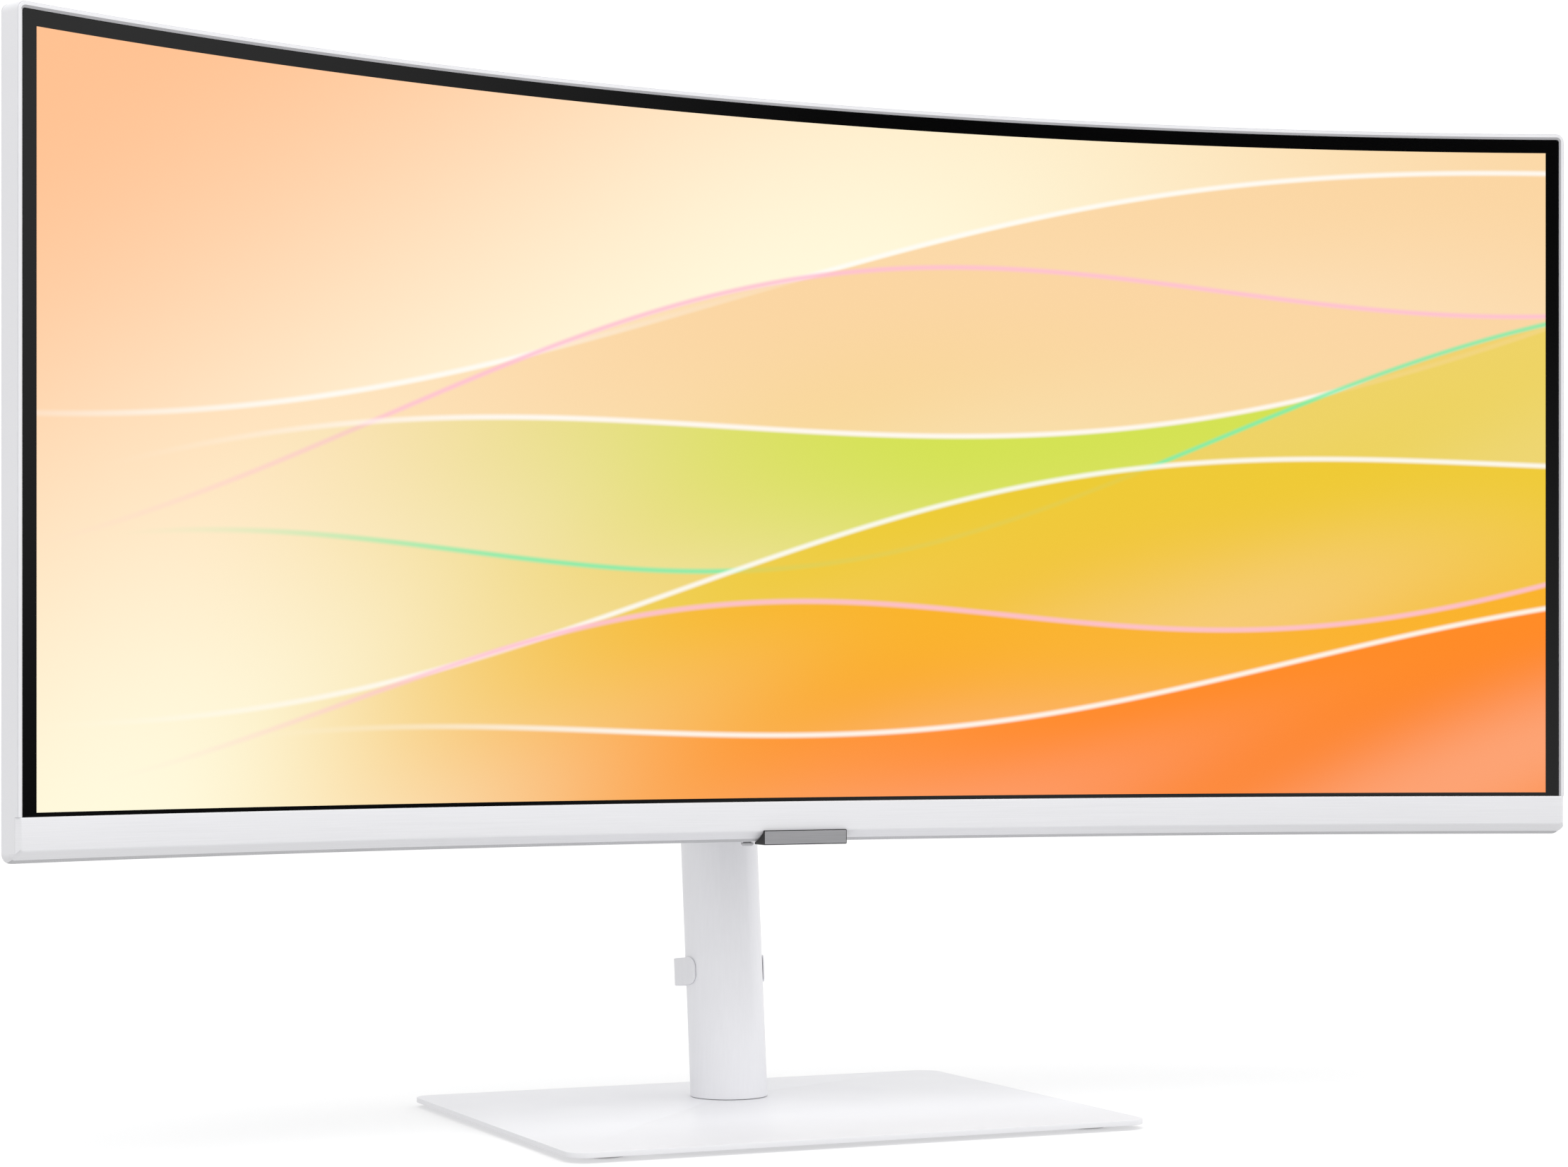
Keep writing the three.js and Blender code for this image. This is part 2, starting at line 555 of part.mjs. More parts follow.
function addPorts() {
  for (const [name, ...size] of PORTS) add(head, name, socket(...size), 'steel');
  const network = cut(block(14, 30.4, PORT_BACK, PORT_MOUTH, PORT_ROW - 7, PORT_ROW + 7),
    block(16.2, 28.2, PORT_BACK + 2.5, PORT_MOUTH + 1, PORT_ROW - 4.5, PORT_ROW + 4.5),
    block(20.2, 24.2, PORT_BACK + 2.5, PORT_MOUTH + 1, PORT_ROW - 6, PORT_ROW - 4));
  add(head, 'network_port', network, 'blackPlastic');
  const decks = [PORT_ROW - 4, PORT_ROW + 4];
  const mouths = decks.map((z) => block(39.8, 52.2, PORT_BACK + 3, PORT_MOUTH + 1, z - 2.6, z + 2.6));
  const tongues = decks.map((z) => block(40.8, 51.2, PORT_BACK + 2.5, PORT_MOUTH - 3, z, z + 1.8));
  const stack = block(38.5, 53.5, PORT_BACK, PORT_MOUTH, PORT_ROW - 8.1, PORT_ROW + 8.1);
  add(head, 'usb_a_ports', join(cut(stack, ...mouths), ...tongues), 'steel');
  const jack = cut(bar('y', 4, PORT_BACK, PORT_MOUTH, [66, 0, PORT_ROW], 24),
    bar('y', 1.85, PORT_BACK + 2, PORT_MOUTH + 1, [66, 0, PORT_ROW], 24));
  add(head, 'audio_port', jack, 'blackPlastic');
  const inlet = cut(block(-92, -65, PORT_BACK, PORT_MOUTH, PORT_ROW - 10, PORT_ROW + 10),
    block(-90.5, -66.5, PORT_BACK + 2.5, PORT_MOUTH + 1, PORT_ROW - 8.5, PORT_ROW + 8.5));
  const blades = [[-85.5, 0], [-78.5, 4], [-71.5, 0]].map(([x, z]) =>
    block(x - 1, x + 1, PORT_BACK + 2, PORT_MOUTH - 5, PORT_ROW + z - 2, PORT_ROW + z + 2));
  add(head, 'power_inlet', join(inlet, ...blades), 'blackPlastic');
}

/** Holes in the rear cover that the sockets look out of. */
function portCutouts() {
  const clear = 0.4;
  const hole = (x0, x1, half) =>
    block(x0 - clear, x1 + clear, 30, 60, PORT_ROW - half - clear, PORT_ROW + half + clear);
  const small = PORTS.map(([, x, width, height]) => hole(x - width / 2, x + width / 2, height / 2));
  return [
    ...small, hole(14, 30.4, 7), hole(38.5, 53.5, 8.1), hole(-92, -65, 10),
    bar('y', 4 + clear, 30, 60, [66, 0, PORT_ROW], 24),
  ];
}

// ---- Joystick button under the lower edge ----

const JOG_AT = [-22.6, 18, 0];
const JOG_PIVOT = -183;

function addJog() {
  const [x, y] = JOG_AT;
  const place = new THREE.Group();
  place.position.set(x, y, JOG_PIVOT);
  head.add(place);
  const housing = cut(block(-8, 8, -5.2, 5.2, -3, 5), bar('z', 4, -10, 3.2));
  add(place, 'jog_housing', housing, 'blackPlastic');
  add(place, 'jog_ring', washer(2.3, 3.4, -0.8, 0.8), 'blackPlastic');
  add(place, 'jog_stick', turned([
    [0, 1.6], [1.4, 0.9], [1.6, 0], [1.4, -0.9], [0.95, -1.3], [0.95, -5.3], [0, -5.3],
  ], 24), 'blackPlastic');
  add(place, 'jog_cap', turned([
    [0, -5.9], [1.25, -5.9], [1.25, -3.3], [2, -3.3], [2, -6.5], [3.2, -6.5], [3.2, -7.3],
    [2.5, -8.1], [0, -8.1],
  ], 20), 'greyPlastic');
}

// ---- Mounting frame and the stand's bracket ----

const MOUNT_HOLES = [[-1, -1], [1, -1], [-1, 1], [1, 1]].map(([x, z]) =>
  [x * MOUNT_SQUARE / 2, z * MOUNT_SQUARE / 2]);

function addMounting() {
  const rear = 35.27;
  const channel = join(block(-60, 60, rear - 2, rear, -59, 59),
    block(-60, -58, 5.4, rear - 1, -59, 59), block(58, 60, 5.4, rear - 1, -59, 59));
  const threads = MOUNT_HOLES.map(([x, z]) => bar('y', 2.2, 20, 50, [x, 0, z], 16));
  add(head, 'mount_frame', cut(channel, ...threads), 'steel');

  const front = rear + GAP;
  const back = front + 3;
  const plate = block(-54, 54, front, back, -54, 54);
  const lug = (x0, x1) => join(
    sidePlate([[back - 1, -24], [back - 1, 24], [HINGE_Y - 4, 12], [HINGE_Y, 12], [HINGE_Y, -12],
      [HINGE_Y - 4, -12]], x0, x1),
    bar('x', 13, x0, x1, [0, HINGE_Y, 0]));
  const pinBore = bar('x', HINGE_PIN_R + 0.25, -40, 40, [0, HINGE_Y, 0]);
  const holes = MOUNT_HOLES.map(([x, z]) => bar('y', 2.5, 20, 50, [x, 0, z], 16));
  const bracket = join(plate, lug(-25.4, -20.4), lug(20.4, 25.4));
  add(head, 'head_bracket', cut(bracket, pinBore, ...holes), 'whitePaint');
  MOUNT_HOLES.forEach(([x, z], index) => {
    const shank = bar('y', 1.9, rear - 1.5, back + 0.4, [x, 0, z], 16);
    const cap = bar('y', 3.9, back + GAP, back + 2.6, [x, 0, z], 16);
    add(head, `bracket_screw_${index + 1}`, join(shank, cap), 'steel');
  });
}

function addHingePin() {
  const at = [0, HINGE_Y, 0];
  const pin = join(bar('x', HINGE_PIN_R, -29, 33, at), bar('x', 8, -31.5, -28.6, at));
  add(head, 'hinge_pin', pin, 'steel');
  const nut = cut(bar('x', 8.5, 28.6, 32, at, 6), bar('x', HINGE_PIN_R + 0.25, 20, 40, at));
  add(head, 'hinge_nut', nut, 'steel');
  for (const [side, x] of [['left', -28.2], ['right', 25.8]]) {
    const disc = cut(bar('x', 14, x, x + 2.4, at), bar('x', HINGE_PIN_R + 0.25, x - 1, x + 4, at));
    add(head, `hinge_cap_${side}`, disc, 'white');
  }
}

addBase();
addSwivelBearing();
addColumn();
addLift();
addCounterbalance();
addCableClip();
addDisplay();
addMidFrame();
addChin();
addBadge();
addRearCover();
addBoards();
addPorts();
addJog();
addMounting();
addHingePin();

export default monitor;
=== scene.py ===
"""A white 34-inch curved monitor on its stand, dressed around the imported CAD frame."""
import json
import math

import bmesh
import bpy
import numpy as np
from mathutils import Matrix, Vector


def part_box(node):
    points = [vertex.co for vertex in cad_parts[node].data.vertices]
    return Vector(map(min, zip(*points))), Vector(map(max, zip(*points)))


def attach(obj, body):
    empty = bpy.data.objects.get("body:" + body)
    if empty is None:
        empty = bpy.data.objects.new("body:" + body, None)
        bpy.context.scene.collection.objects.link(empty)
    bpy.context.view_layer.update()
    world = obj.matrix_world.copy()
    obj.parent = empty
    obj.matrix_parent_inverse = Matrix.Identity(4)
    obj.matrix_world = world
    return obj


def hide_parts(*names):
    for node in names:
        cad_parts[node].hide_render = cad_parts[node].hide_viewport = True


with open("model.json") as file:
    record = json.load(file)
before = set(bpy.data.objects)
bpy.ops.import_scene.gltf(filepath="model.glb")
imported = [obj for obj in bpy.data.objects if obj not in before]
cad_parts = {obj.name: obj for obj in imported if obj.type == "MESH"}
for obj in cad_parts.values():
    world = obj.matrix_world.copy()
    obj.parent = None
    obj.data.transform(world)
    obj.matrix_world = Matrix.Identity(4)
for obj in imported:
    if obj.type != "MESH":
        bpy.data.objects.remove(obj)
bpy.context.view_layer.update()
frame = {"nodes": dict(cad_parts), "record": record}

MM = 0.001


# ---------------------------------------------------------------- camera

def make_camera():
    """Level, a little below the middle of the screen, and 25 degrees round to its left."""
    data = bpy.data.cameras.new("camera")
    data.sensor_width = 36
    data.lens = 77.05
    data.shift_x = -0.0758
    data.shift_y = 0.077
    data.clip_end = 50
    camera = bpy.data.objects.new("camera", data)
    camera.location = (-0.6579, -1.5667, 0.2089)
    camera.rotation_euler = (math.radians(90), 0, math.radians(-25.04))
    bpy.context.collection.objects.link(camera)
    bpy.context.scene.camera = camera


make_camera()


# ---------------------------------------------------------------- measures of the head

CURVE_RADIUS = 1000 * MM
PICTURE_HALF_ARC = 398.6 * MM
PICTURE_HALF_HEIGHT = 166.85 * MM
BORDER = 7.1 * MM
RIM = 2.5 * MM
RIM_TOP = 2.95 * MM
PANEL_HALF = PICTURE_HALF_ARC + BORDER
PANEL_TOP = PICTURE_HALF_HEIGHT + BORDER
HEAD_HALF = PANEL_HALF + RIM
HEAD_TOP = PANEL_TOP + RIM_TOP
CHIN_TOP = -168.75 * MM
CHIN_LOW = CHIN_TOP - 14.6 * MM
CHAMFER_LOW = CHIN_LOW - 3.8 * MM
HEAD_LOW = CHAMFER_LOW - 1.6 * MM
COVER_FRONT = 11.8 * MM
SEAM = 0.3 * MM
STATION_STEP = 8 * MM

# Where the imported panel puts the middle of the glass, in the row frame.
PANEL_HIGH_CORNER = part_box("lcd_panel")[1]
GLASS_THICKNESS = 1.2 * MM
GLASS_LOW = -174 * MM
HEAD_Y = PANEL_HIGH_CORNER.y - GLASS_THICKNESS
HEAD_Z = PANEL_HIGH_CORNER.z - (PANEL_TOP - SEAM)


def bent(s, depth, height):
    """The point at an arc length, a depth behind the glass and a height, on the curved head."""
    angle = s / CURVE_RADIUS
    reach = CURVE_RADIUS + depth
    return (reach * math.sin(angle), HEAD_Y + reach * math.cos(angle) - CURVE_RADIUS, HEAD_Z + height)


# ---------------------------------------------------------------- making pieces

def new_piece(name, vertices, faces, material, smooth_angle=30):
    """A mesh object of one material, with smooth faces and sharp edges."""
    mesh = bpy.data.meshes.new(name)
    mesh.from_pydata([tuple(v) for v in vertices], [], faces)
    mesh.validate()
    mesh.materials.append(material)
    piece = bpy.data.objects.new(name, mesh)
    bpy.context.collection.objects.link(piece)
    shade(piece, smooth_angle)
    return piece


def shade(piece, smooth_angle=30):
    """Smooth shading, with the edges that turn more than the angle left sharp."""
    mesh = piece.data
    mesh.polygons.foreach_set("use_smooth", [True] * len(mesh.polygons))
    mesh.set_sharp_from_angle(angle=math.radians(smooth_angle))


def grid_faces(rows, columns, wrap_rows=False):
    """Quads between neighbouring points of a rows x columns grid, each row of which is closed."""
    faces = []
    for i in range(rows if wrap_rows else rows - 1):
        here = i * columns
        below = (i + 1) % rows * columns
        for j in range(columns):
            right = (j + 1) % columns
            faces.append((here + j, here + right, below + right, below + j))
    return faces


def loft(name, rings, material, smooth_angle=30):
    """A closed body through rings of equally many points, with a cap on each end."""
    count = len(rings[0])
    vertices = [point for ring in rings for point in ring]
    faces = grid_faces(len(rings), count)
    faces.append(tuple(reversed(range(count))))
    last = (len(rings) - 1) * count
    faces.append(tuple(last + k for k in range(count)))
    piece = new_piece(name, vertices, faces, material, smooth_angle)
    face_outwards(piece, smooth_angle)
    return piece


SAME_PLACE = 1e-7


def face_outwards(piece, smooth_angle=30):
    """Merge points that coincide, and turn the faces out, whichever way round the rings were made."""
    work = bmesh.new()
    work.from_mesh(piece.data)
    bmesh.ops.remove_doubles(work, verts=work.verts, dist=SAME_PLACE)
    bmesh.ops.dissolve_degenerate(work, edges=work.edges, dist=SAME_PLACE)
    bmesh.ops.recalc_face_normals(work, faces=work.faces)
    work.to_mesh(piece.data)
    work.free()
    shade(piece, smooth_angle)


def bevel(piece, width, segments, angle):
    """Round the edges that turn more than the angle in degrees."""
    modifier = piece.modifiers.new("edge_round", "BEVEL")
    modifier.width = width
    modifier.segments = segments
    modifier.limit_method = "ANGLE"
    modifier.angle_limit = math.radians(angle)
    modifier.harden_normals = True


def spaced(low, high, step):
    """Even values from low to high, about a step apart, with both ends."""
    return list(np.linspace(low, high, max(2, int(round((high - low) / step)) + 1)))


SMALL_RADIUS = 2 * MM
LONGEST_REACH = 0.48
NO_LENGTH = 1e-9


def rounded(corners):
    """A closed outline from corners, each its coordinates and then about the radius of its rounding.

    A rounding reaches less than halfway along the sides that it joins, and a small one has fewer points.
    """
    out = []
    count = len(corners)
    for i, (*place, radius) in enumerate(corners):
        corner = np.array(place, float)
        before = np.array(corners[i - 1][:-1], float) - corner
        after = np.array(corners[(i + 1) % count][:-1], float) - corner
        if radius == 0:
            out.append(corner)
            continue
        length_before = max(NO_LENGTH, np.linalg.norm(before))
        length_after = max(NO_LENGTH, np.linalg.norm(after))
        reach = min(radius, LONGEST_REACH * length_before, LONGEST_REACH * length_after)
        start = corner + before / length_before * reach
        end = corner + after / length_after * reach
        steps = 3 if radius < SMALL_RADIUS else 7
        for k in range(steps + 1):
            t = k / steps
            out.append((1 - t) ** 2 * start + 2 * t * (1 - t) * corner + t * t * end)
    return out


# ---------------------------------------------------------------- materials

def rgb(red, green, blue):
    """A colour given as 0-255 display values, as the linear values that a shader takes."""
    def linear(value):
        value = value / 255
        return value / 12.92 if value <= 0.04045 else ((value + 0.055) / 1.055) ** 2.4
    return (linear(red), linear(green), linear(blue), 1.0)


def scaled(color, factor):
    """A colour made lighter or darker, no channel over 1."""
    return tuple(min(1.0, channel * factor) for channel in color[:3]) + (1.0,)


class Field:
    """A number that varies over a surface or with the direction, so that looks can be arithmetic."""

    def __init__(self, tree, socket):
        self.tree = tree
        self.socket = socket

    def _math(self, operation, *others):
        """A new field: this one and the others put through a math node."""
        node = self.tree.nodes.new("ShaderNodeMath")
        node.operation = operation
        for slot, value in zip(node.inputs, (self, *others)):
            if isinstance(value, Field):
                self.tree.links.new(value.socket, slot)
            else:
                slot.default_value = value
        return Field(self.tree, node.outputs[0])

    def __add__(self, other):
        return self._math("ADD", other)

    def __sub__(self, other):
        return self._math("SUBTRACT", other)

    def __mul__(self, other):
        return self._math("MULTIPLY", other)

    def wave(self):
        return self._math("SINE")

    def size(self):
        return self._math("ABSOLUTE")

    def reversed(self):
        """1 where this is 0, and 0 where it is 1."""
        return self * -1.0 + 1.0

    def step(self, low, high):
        """0 below `low`, 1 above `high`, and a smooth rise between them."""
        node = self.tree.nodes.new("ShaderNodeMapRange")
        node.interpolation_type = "SMOOTHSTEP"
        node.inputs["From Min"].default_value = low
        node.inputs["From Max"].default_value = high
        self.tree.links.new(self.socket, node.inputs["Value"])
        return Field(self.tree, node.outputs["Result"])

    def blend(self, low, high):
        """A colour that goes from one to the other as this goes from 0 to 1."""
        node = self.tree.nodes.new("ShaderNodeMix")
        node.data_type = "RGBA"
        self.tree.links.new(self.socket, node.inputs["Factor"])
        for slot, value in ((node.inputs["A"], low), (node.inputs["B"], high)):
            if isinstance(value, bpy.types.NodeSocket):
                self.tree.links.new(value, slot)
            else:
                slot.default_value = value
        return node.outputs["Result"]


class Look:
    """A material being built, with the few kinds of detail that this object's surfaces show."""

    def __init__(self, name, color, roughness, metallic=0.0, specular=0.5):
        self.material = bpy.data.materials.new(name)
        self.material.use_nodes = True
        self.nodes = self.material.node_tree.nodes
        self.links = self.material.node_tree.links
        self.shader = self.nodes["Principled BSDF"]
        self.color = color
        self.shader.inputs["Base Color"].default_value = color
        self.shader.inputs["Roughness"].default_value = roughness
        self.shader.inputs["Metallic"].default_value = metallic
        self.shader.inputs["Specular IOR Level"].default_value = specular
        self.place = self.nodes.new("ShaderNodeTexCoord").outputs["Object"]
        self.bump_before = None

    def stretched(self, scale, turn=(0, 0, 0)):
        """The object's own coordinates, turned and then scaled along each axis."""
        turned = self.nodes.new("ShaderNodeVectorRotate")
        turned.rotation_type = "EULER_XYZ"
        turned.inputs["Rotation"].default_value = turn
        self.links.new(self.place, turned.inputs["Vector"])
        mapping = self.nodes.new("ShaderNodeMapping")
        mapping.inputs["Scale"].default_value = scale
        self.links.new(turned.outputs[0], mapping.inputs["Vector"])
        return mapping.outputs[0]

    def noise(self, scale, detail):
        """Noise of about `scale` cells to the metre: one number, or one for each axis."""
        axes = scale if isinstance(scale, tuple) else (scale, scale, scale)
        texture = self.nodes.new("ShaderNodeTexNoise")
        texture.inputs["Scale"].default_value = 1.0
        texture.inputs["Detail"].default_value = detail
        self.links.new(self.stretched(axes), texture.inputs["Vector"])
        return texture.outputs["Fac"]

    def lines(self, per_metre, turn):
        """Even ridges across the turned X axis."""
        texture = self.nodes.new("ShaderNodeTexWave")
        texture.bands_direction = "X"
        texture.inputs["Scale"].default_value = 1.0
        texture.inputs["Distortion"].default_value = 0.0
        # A wave texture repeats every pi / 10 of its coordinate.
        step = per_metre * math.pi / 10
        self.links.new(self.stretched((step, step, step), turn), texture.inputs["Vector"])
        return texture.outputs["Fac"]

    def ranged(self, factor, low, high):
        """A texture's output, which mostly stays between 0.3 and 0.7, spread from low to high."""
        node = self.nodes.new("ShaderNodeMapRange")
        node.inputs["From Min"].default_value = 0.3
        node.inputs["From Max"].default_value = 0.7
        node.inputs["To Min"].default_value = low
        node.inputs["To Max"].default_value = high
        self.links.new(factor, node.inputs["Value"])
        return node.outputs["Result"]

    def vary_color(self, factor, amount):
        """The colour a little darker and lighter, by that share of it."""
        spread = Field(self.material.node_tree, self.ranged(factor, 0.0, 1.0))
        color = spread.blend(scaled(self.color, 1 - amount), scaled(self.color, 1 + amount))
        self.links.new(color, self.shader.inputs["Base Color"])

    def vary_roughness(self, factor, low, high):
        self.links.new(self.ranged(factor, low, high), self.shader.inputs["Roughness"])

    def bump(self, factor, height):
        """Relief of about that height in metres, on top of any relief added before."""
        node = self.nodes.new("ShaderNodeBump")
        node.inputs["Strength"].default_value = 1.0
        node.inputs["Distance"].default_value = height
        self.links.new(factor, node.inputs["Height"])
        if self.bump_before is not None:
            self.links.new(self.bump_before, node.inputs["Normal"])
        self.bump_before = node.outputs["Normal"]
        self.links.new(self.bump_before, self.shader.inputs["Normal"])


def moulded(name, color, roughness, grain=0.004 * MM, cells=2200):
    """Injection-moulded plastic: a fine even grain, with a slow change of gloss and shade."""
    look = Look(name, color, roughness)
    slow = look.noise(14, 2)
    look.vary_color(slow, 0.012)
    look.vary_roughness(slow, roughness - 0.04, roughness + 0.05)
    look.bump(look.noise(cells, 3), grain)
    return look.material


def housing_white():
    return moulded("housing_white", rgb(236, 236, 239), 0.44)


def chin_white():
    """The strip's moulded plastic with a faint brushing along its length."""
    look = Look("chin_white", rgb(236, 236, 239), 0.42)
    brushed = look.noise((26, 26, 2600), 3)
    look.vary_color(brushed, 0.022)
    look.vary_roughness(brushed, 0.36, 0.5)
    look.bump(brushed, 0.0025 * MM)
    look.bump(look.noise(2600, 2), 0.002 * MM)
    return look.material


RIDGES_PER_METRE = 900
RIDGE_SLANT = math.radians(38)


def ridged(name, color):
    """Fine slanting ridges, 1.1 mm apart, over a moulded grain."""
    look = Look(name, color, 0.5)
    ridges = look.lines(RIDGES_PER_METRE, (0, RIDGE_SLANT, 0))
    look.vary_color(look.noise(11, 2), 0.012)
    look.vary_roughness(look.noise(60, 3), 0.45, 0.56)
    look.bump(ridges, 0.035 * MM)
    look.bump(look.noise(2400, 2), 0.003 * MM)
    return look.material


def rear_white():
    return ridged("rear_white", rgb(220, 220, 223))


# The rear shell's ridged plastic, painted darker for the band's downward faces: painted shade.
def lower_band_painted_shade():
    return ridged("lower_band_painted_shade", rgb(194, 194, 197))


def stand_white():
    """Powder coat: a slight orange peel under a finer grain."""
    look = Look("stand_white", rgb(240, 240, 243), 0.4)
    look.vary_color(look.noise(9, 2), 0.01)
    look.vary_roughness(look.noise(30, 3), 0.34, 0.46)
    look.bump(look.noise(420, 2), 0.006 * MM)
    look.bump(look.noise(2800, 2), 0.003 * MM)
    return look.material


def column_white():
    """Satin paint on drawn aluminium, with hardly visible streaks along the draw."""
    look = Look("column_white", rgb(242, 242, 245), 0.36)
    streaks = look.noise((900, 900, 9), 2)
    look.vary_color(streaks, 0.01)
    look.vary_roughness(look.noise(24, 3), 0.31, 0.42)
    look.bump(look.noise(1900, 3), 0.003 * MM)
    return look.material


def inner_slope_painted_shade():
    """The rim's white plastic, painted grey on the slope down to the glass: painted shade, and a painted
    dark reflection of the black glass beside it.
    """
    return moulded("inner_slope_painted_shade", rgb(184, 184, 188), 0.5)


def grey_plastic():
    return moulded("grey_plastic", rgb(196, 196, 199), 0.5, 0.006 * MM, 1500)


def black_plastic():
    return moulded("black_plastic", rgb(12, 12, 13), 0.55, 0.006 * MM, 1500)


def rubber():
    """Pale rubber with a coarse matt grain."""
    look = Look("rubber", rgb(168, 168, 170), 0.85, specular=0.3)
    look.vary_color(look.noise(120, 3), 0.12)
    look.bump(look.noise(1400, 4), 0.03 * MM)
    return look.material


def steel():
    """Zinc plate: a soft spangle and small changes of gloss."""
    look = Look("steel", rgb(176, 178, 182), 0.34, metallic=1.0)
    spangle = look.noise(260, 3)
    look.vary_color(spangle, 0.08)
    look.vary_roughness(spangle, 0.26, 0.44)
    look.bump(look.noise(1700, 3), 0.004 * MM)
    return look.material


def aluminium():
    """Drawn metal, with streaks along its length."""
    look = Look("aluminium", rgb(196, 198, 202), 0.36, metallic=1.0)
    drawn = look.noise((1500, 1500, 22), 3)
    look.vary_color(drawn, 0.06)
    look.vary_roughness(drawn, 0.28, 0.46)
    look.bump(drawn, 0.005 * MM)
    return look.material


def badge_metal():
    """Grey metal brushed along its length."""
    look = Look("badge_metal", rgb(172, 172, 175), 0.46, metallic=0.35)
    brushed = look.noise((60, 60, 5200), 3)
    look.vary_color(brushed, 0.1)
    look.vary_roughness(brushed, 0.34, 0.5)
    look.bump(brushed, 0.003 * MM)
    return look.material


def gold():
    """Plated contacts, with hardly any texture but an uneven gloss."""
    look = Look("gold", rgb(222, 184, 104), 0.28, metallic=1.0)
    look.vary_roughness(look.noise(900, 2), 0.2, 0.36)
    look.bump(look.noise(2600, 2), 0.002 * MM)
    return look.material


def screen_glass():
    """The black border of the panel: a smooth face with a very fine anti-glare haze."""
    look = Look("screen_black", (0.0012, 0.0012, 0.0014, 1), 0.16)
    haze = look.noise(4200, 2)
    look.vary_roughness(haze, 0.13, 0.19)
    look.bump(haze, 0.0006 * MM)
    return look.material


def optical_film():
    """White film with very fine parallel prisms."""
    look = Look("optical_film", rgb(240, 240, 243), 0.55)
    look.vary_color(look.noise(20, 2), 0.01)
    look.bump(look.lines(4000, (0, math.radians(90), 0)), 0.01 * MM)
    return look.material


def acrylic():
    """Clear light guide, clouded by its fine printed dots."""
    look = Look("acrylic", rgb(226, 238, 242), 0.1)
    look.shader.inputs["Transmission Weight"].default_value = 0.6
    look.shader.inputs["IOR"].default_value = 1.49
    look.vary_color(look.noise(700, 1), 0.04)
    look.vary_roughness(look.noise(700, 1), 0.06, 0.2)
    return look.material


def circuit_board():
    """Green solder mask in two shades, with lighter tracks between."""
    look = Look("circuit_board", rgb(28, 92, 52), 0.36)
    cells = look.nodes.new("ShaderNodeTexBrick")
    cells.inputs["Color1"].default_value = rgb(26, 86, 48)
    cells.inputs["Color2"].default_value = rgb(34, 104, 60)
    cells.inputs["Mortar"].default_value = rgb(74, 142, 84)
    cells.inputs["Scale"].default_value = 1.0
    cells.inputs["Mortar Size"].default_value = 0.03
    look.links.new(look.stretched((260, 260, 260), (math.radians(90), 0, 0)), cells.inputs["Vector"])
    look.links.new(cells.outputs["Color"], look.shader.inputs["Base Color"])
    look.vary_roughness(look.noise(300, 2), 0.28, 0.45)
    look.bump(cells.outputs["Fac"], 0.03 * MM)
    return look.material


# ---------------------------------------------------------------- the picture on the screen

PEACH = rgb(255, 192, 144)
CREAM = rgb(255, 251, 223)
PALE = rgb(254, 234, 204)
SAND = rgb(250, 212, 160)
GOLD = rgb(240, 208, 100)
YELLOW = rgb(238, 200, 36)
AMBER = rgb(250, 176, 28)
ORANGE = rgb(255, 132, 24)
EMBER = rgb(252, 96, 30)
LIME = rgb(206, 226, 60)
MINT = rgb(120, 236, 170)
ROSE = rgb(255, 190, 210)
WHITE = rgb(255, 253, 248)

# Each hill of the picture: height at the middle, rise to the right, swing, pace, phase, how far its
# colour reaches down, where along the screen it fades in, colours at its crest and foot, crest line.
HILLS = [
    (0.25, 0.13, 0.10, 1.9, 0.2, 0.60, -1.3, SAND, PALE, WHITE),
    (0.15, 0.17, 0.12, 2.3, 1.5, 0.50, -1.1, SAND, GOLD, ROSE),
    (0.06, 0.20, 0.11, 2.0, 3.3, 0.45, -1.0, LIME, GOLD, WHITE),
    (-0.06, 0.17, 0.10, 2.6, 4.5, 0.40, -1.0, GOLD, YELLOW, MINT),
    (-0.16, 0.15, 0.08, 2.4, 0.4, 0.35, -1.1, YELLOW, AMBER, WHITE),
    (-0.27, 0.12, 0.07, 3.0, 2.1, 0.30, -1.0, AMBER, ORANGE, ROSE),
    (-0.37, 0.10, 0.05, 2.8, 4.0, 0.22, -0.8, ORANGE, EMBER, WHITE),
]


FOLD_PACE = 17.0
FOLD_LEAN = 6.0
FOLD_STRENGTH = 0.18
CREST_WIDTH = 0.007


def add_hill(color, across, up, hill):
    """One translucent rolling shape over the colours so far, with pale folds and a bright crest."""
    middle, rise, swing, pace, phase, reach, start, crest, foot, line = hill
    edge = across * rise + middle + (across * pace + phase).wave() * swing
    below = edge - up
    fall = below.step(0.0, reach)
    folds = (below * FOLD_PACE + across * FOLD_LEAN + phase).wave() * 0.5 + 0.5
    fill = fall.blend(crest, foot)
    fill = (folds * FOLD_STRENGTH * fall).blend(fill, WHITE)
    cover = below.step(0.0, 0.006) * (fall * -0.38 + 0.9) * across.step(start, start + 1.3)
    color = cover.blend(color, fill)
    glow = below.size().step(0.0, CREST_WIDTH).reversed() * across.step(start - 0.1, start + 0.6)
    return (glow * 0.85).blend(color, line)


def picture_look():
    """A lit picture of soft warm hills, from cream and peach on the left to orange on the right."""
    look = Look("picture", (0.002, 0.002, 0.002, 1), 0.5, specular=0.2)
    tree = look.material.node_tree
    split = look.nodes.new("ShaderNodeSeparateXYZ")
    look.links.new(look.place, split.inputs["Vector"])
    picture_height = 2 * PICTURE_HALF_HEIGHT
    across = Field(tree, split.outputs["X"]) * (1 / picture_height)
    up = (Field(tree, split.outputs["Z"]) - HEAD_Z) * (1 / picture_height)
    warmth = (across * -0.62 + up * 0.9).step(0.1, 1.15)
    color = warmth.blend(CREAM, PEACH)
    color = (across * 0.8 + up * 0.5).step(0.0, 1.4).blend(color, SAND)
    for hill in HILLS:
        color = add_hill(color, across, up, hill)
    look.links.new(color, look.shader.inputs["Emission Color"])
    look.shader.inputs["Emission Strength"].default_value = 1.0
    look.bump(look.noise(3600, 2), 0.001 * MM)
    return look.material


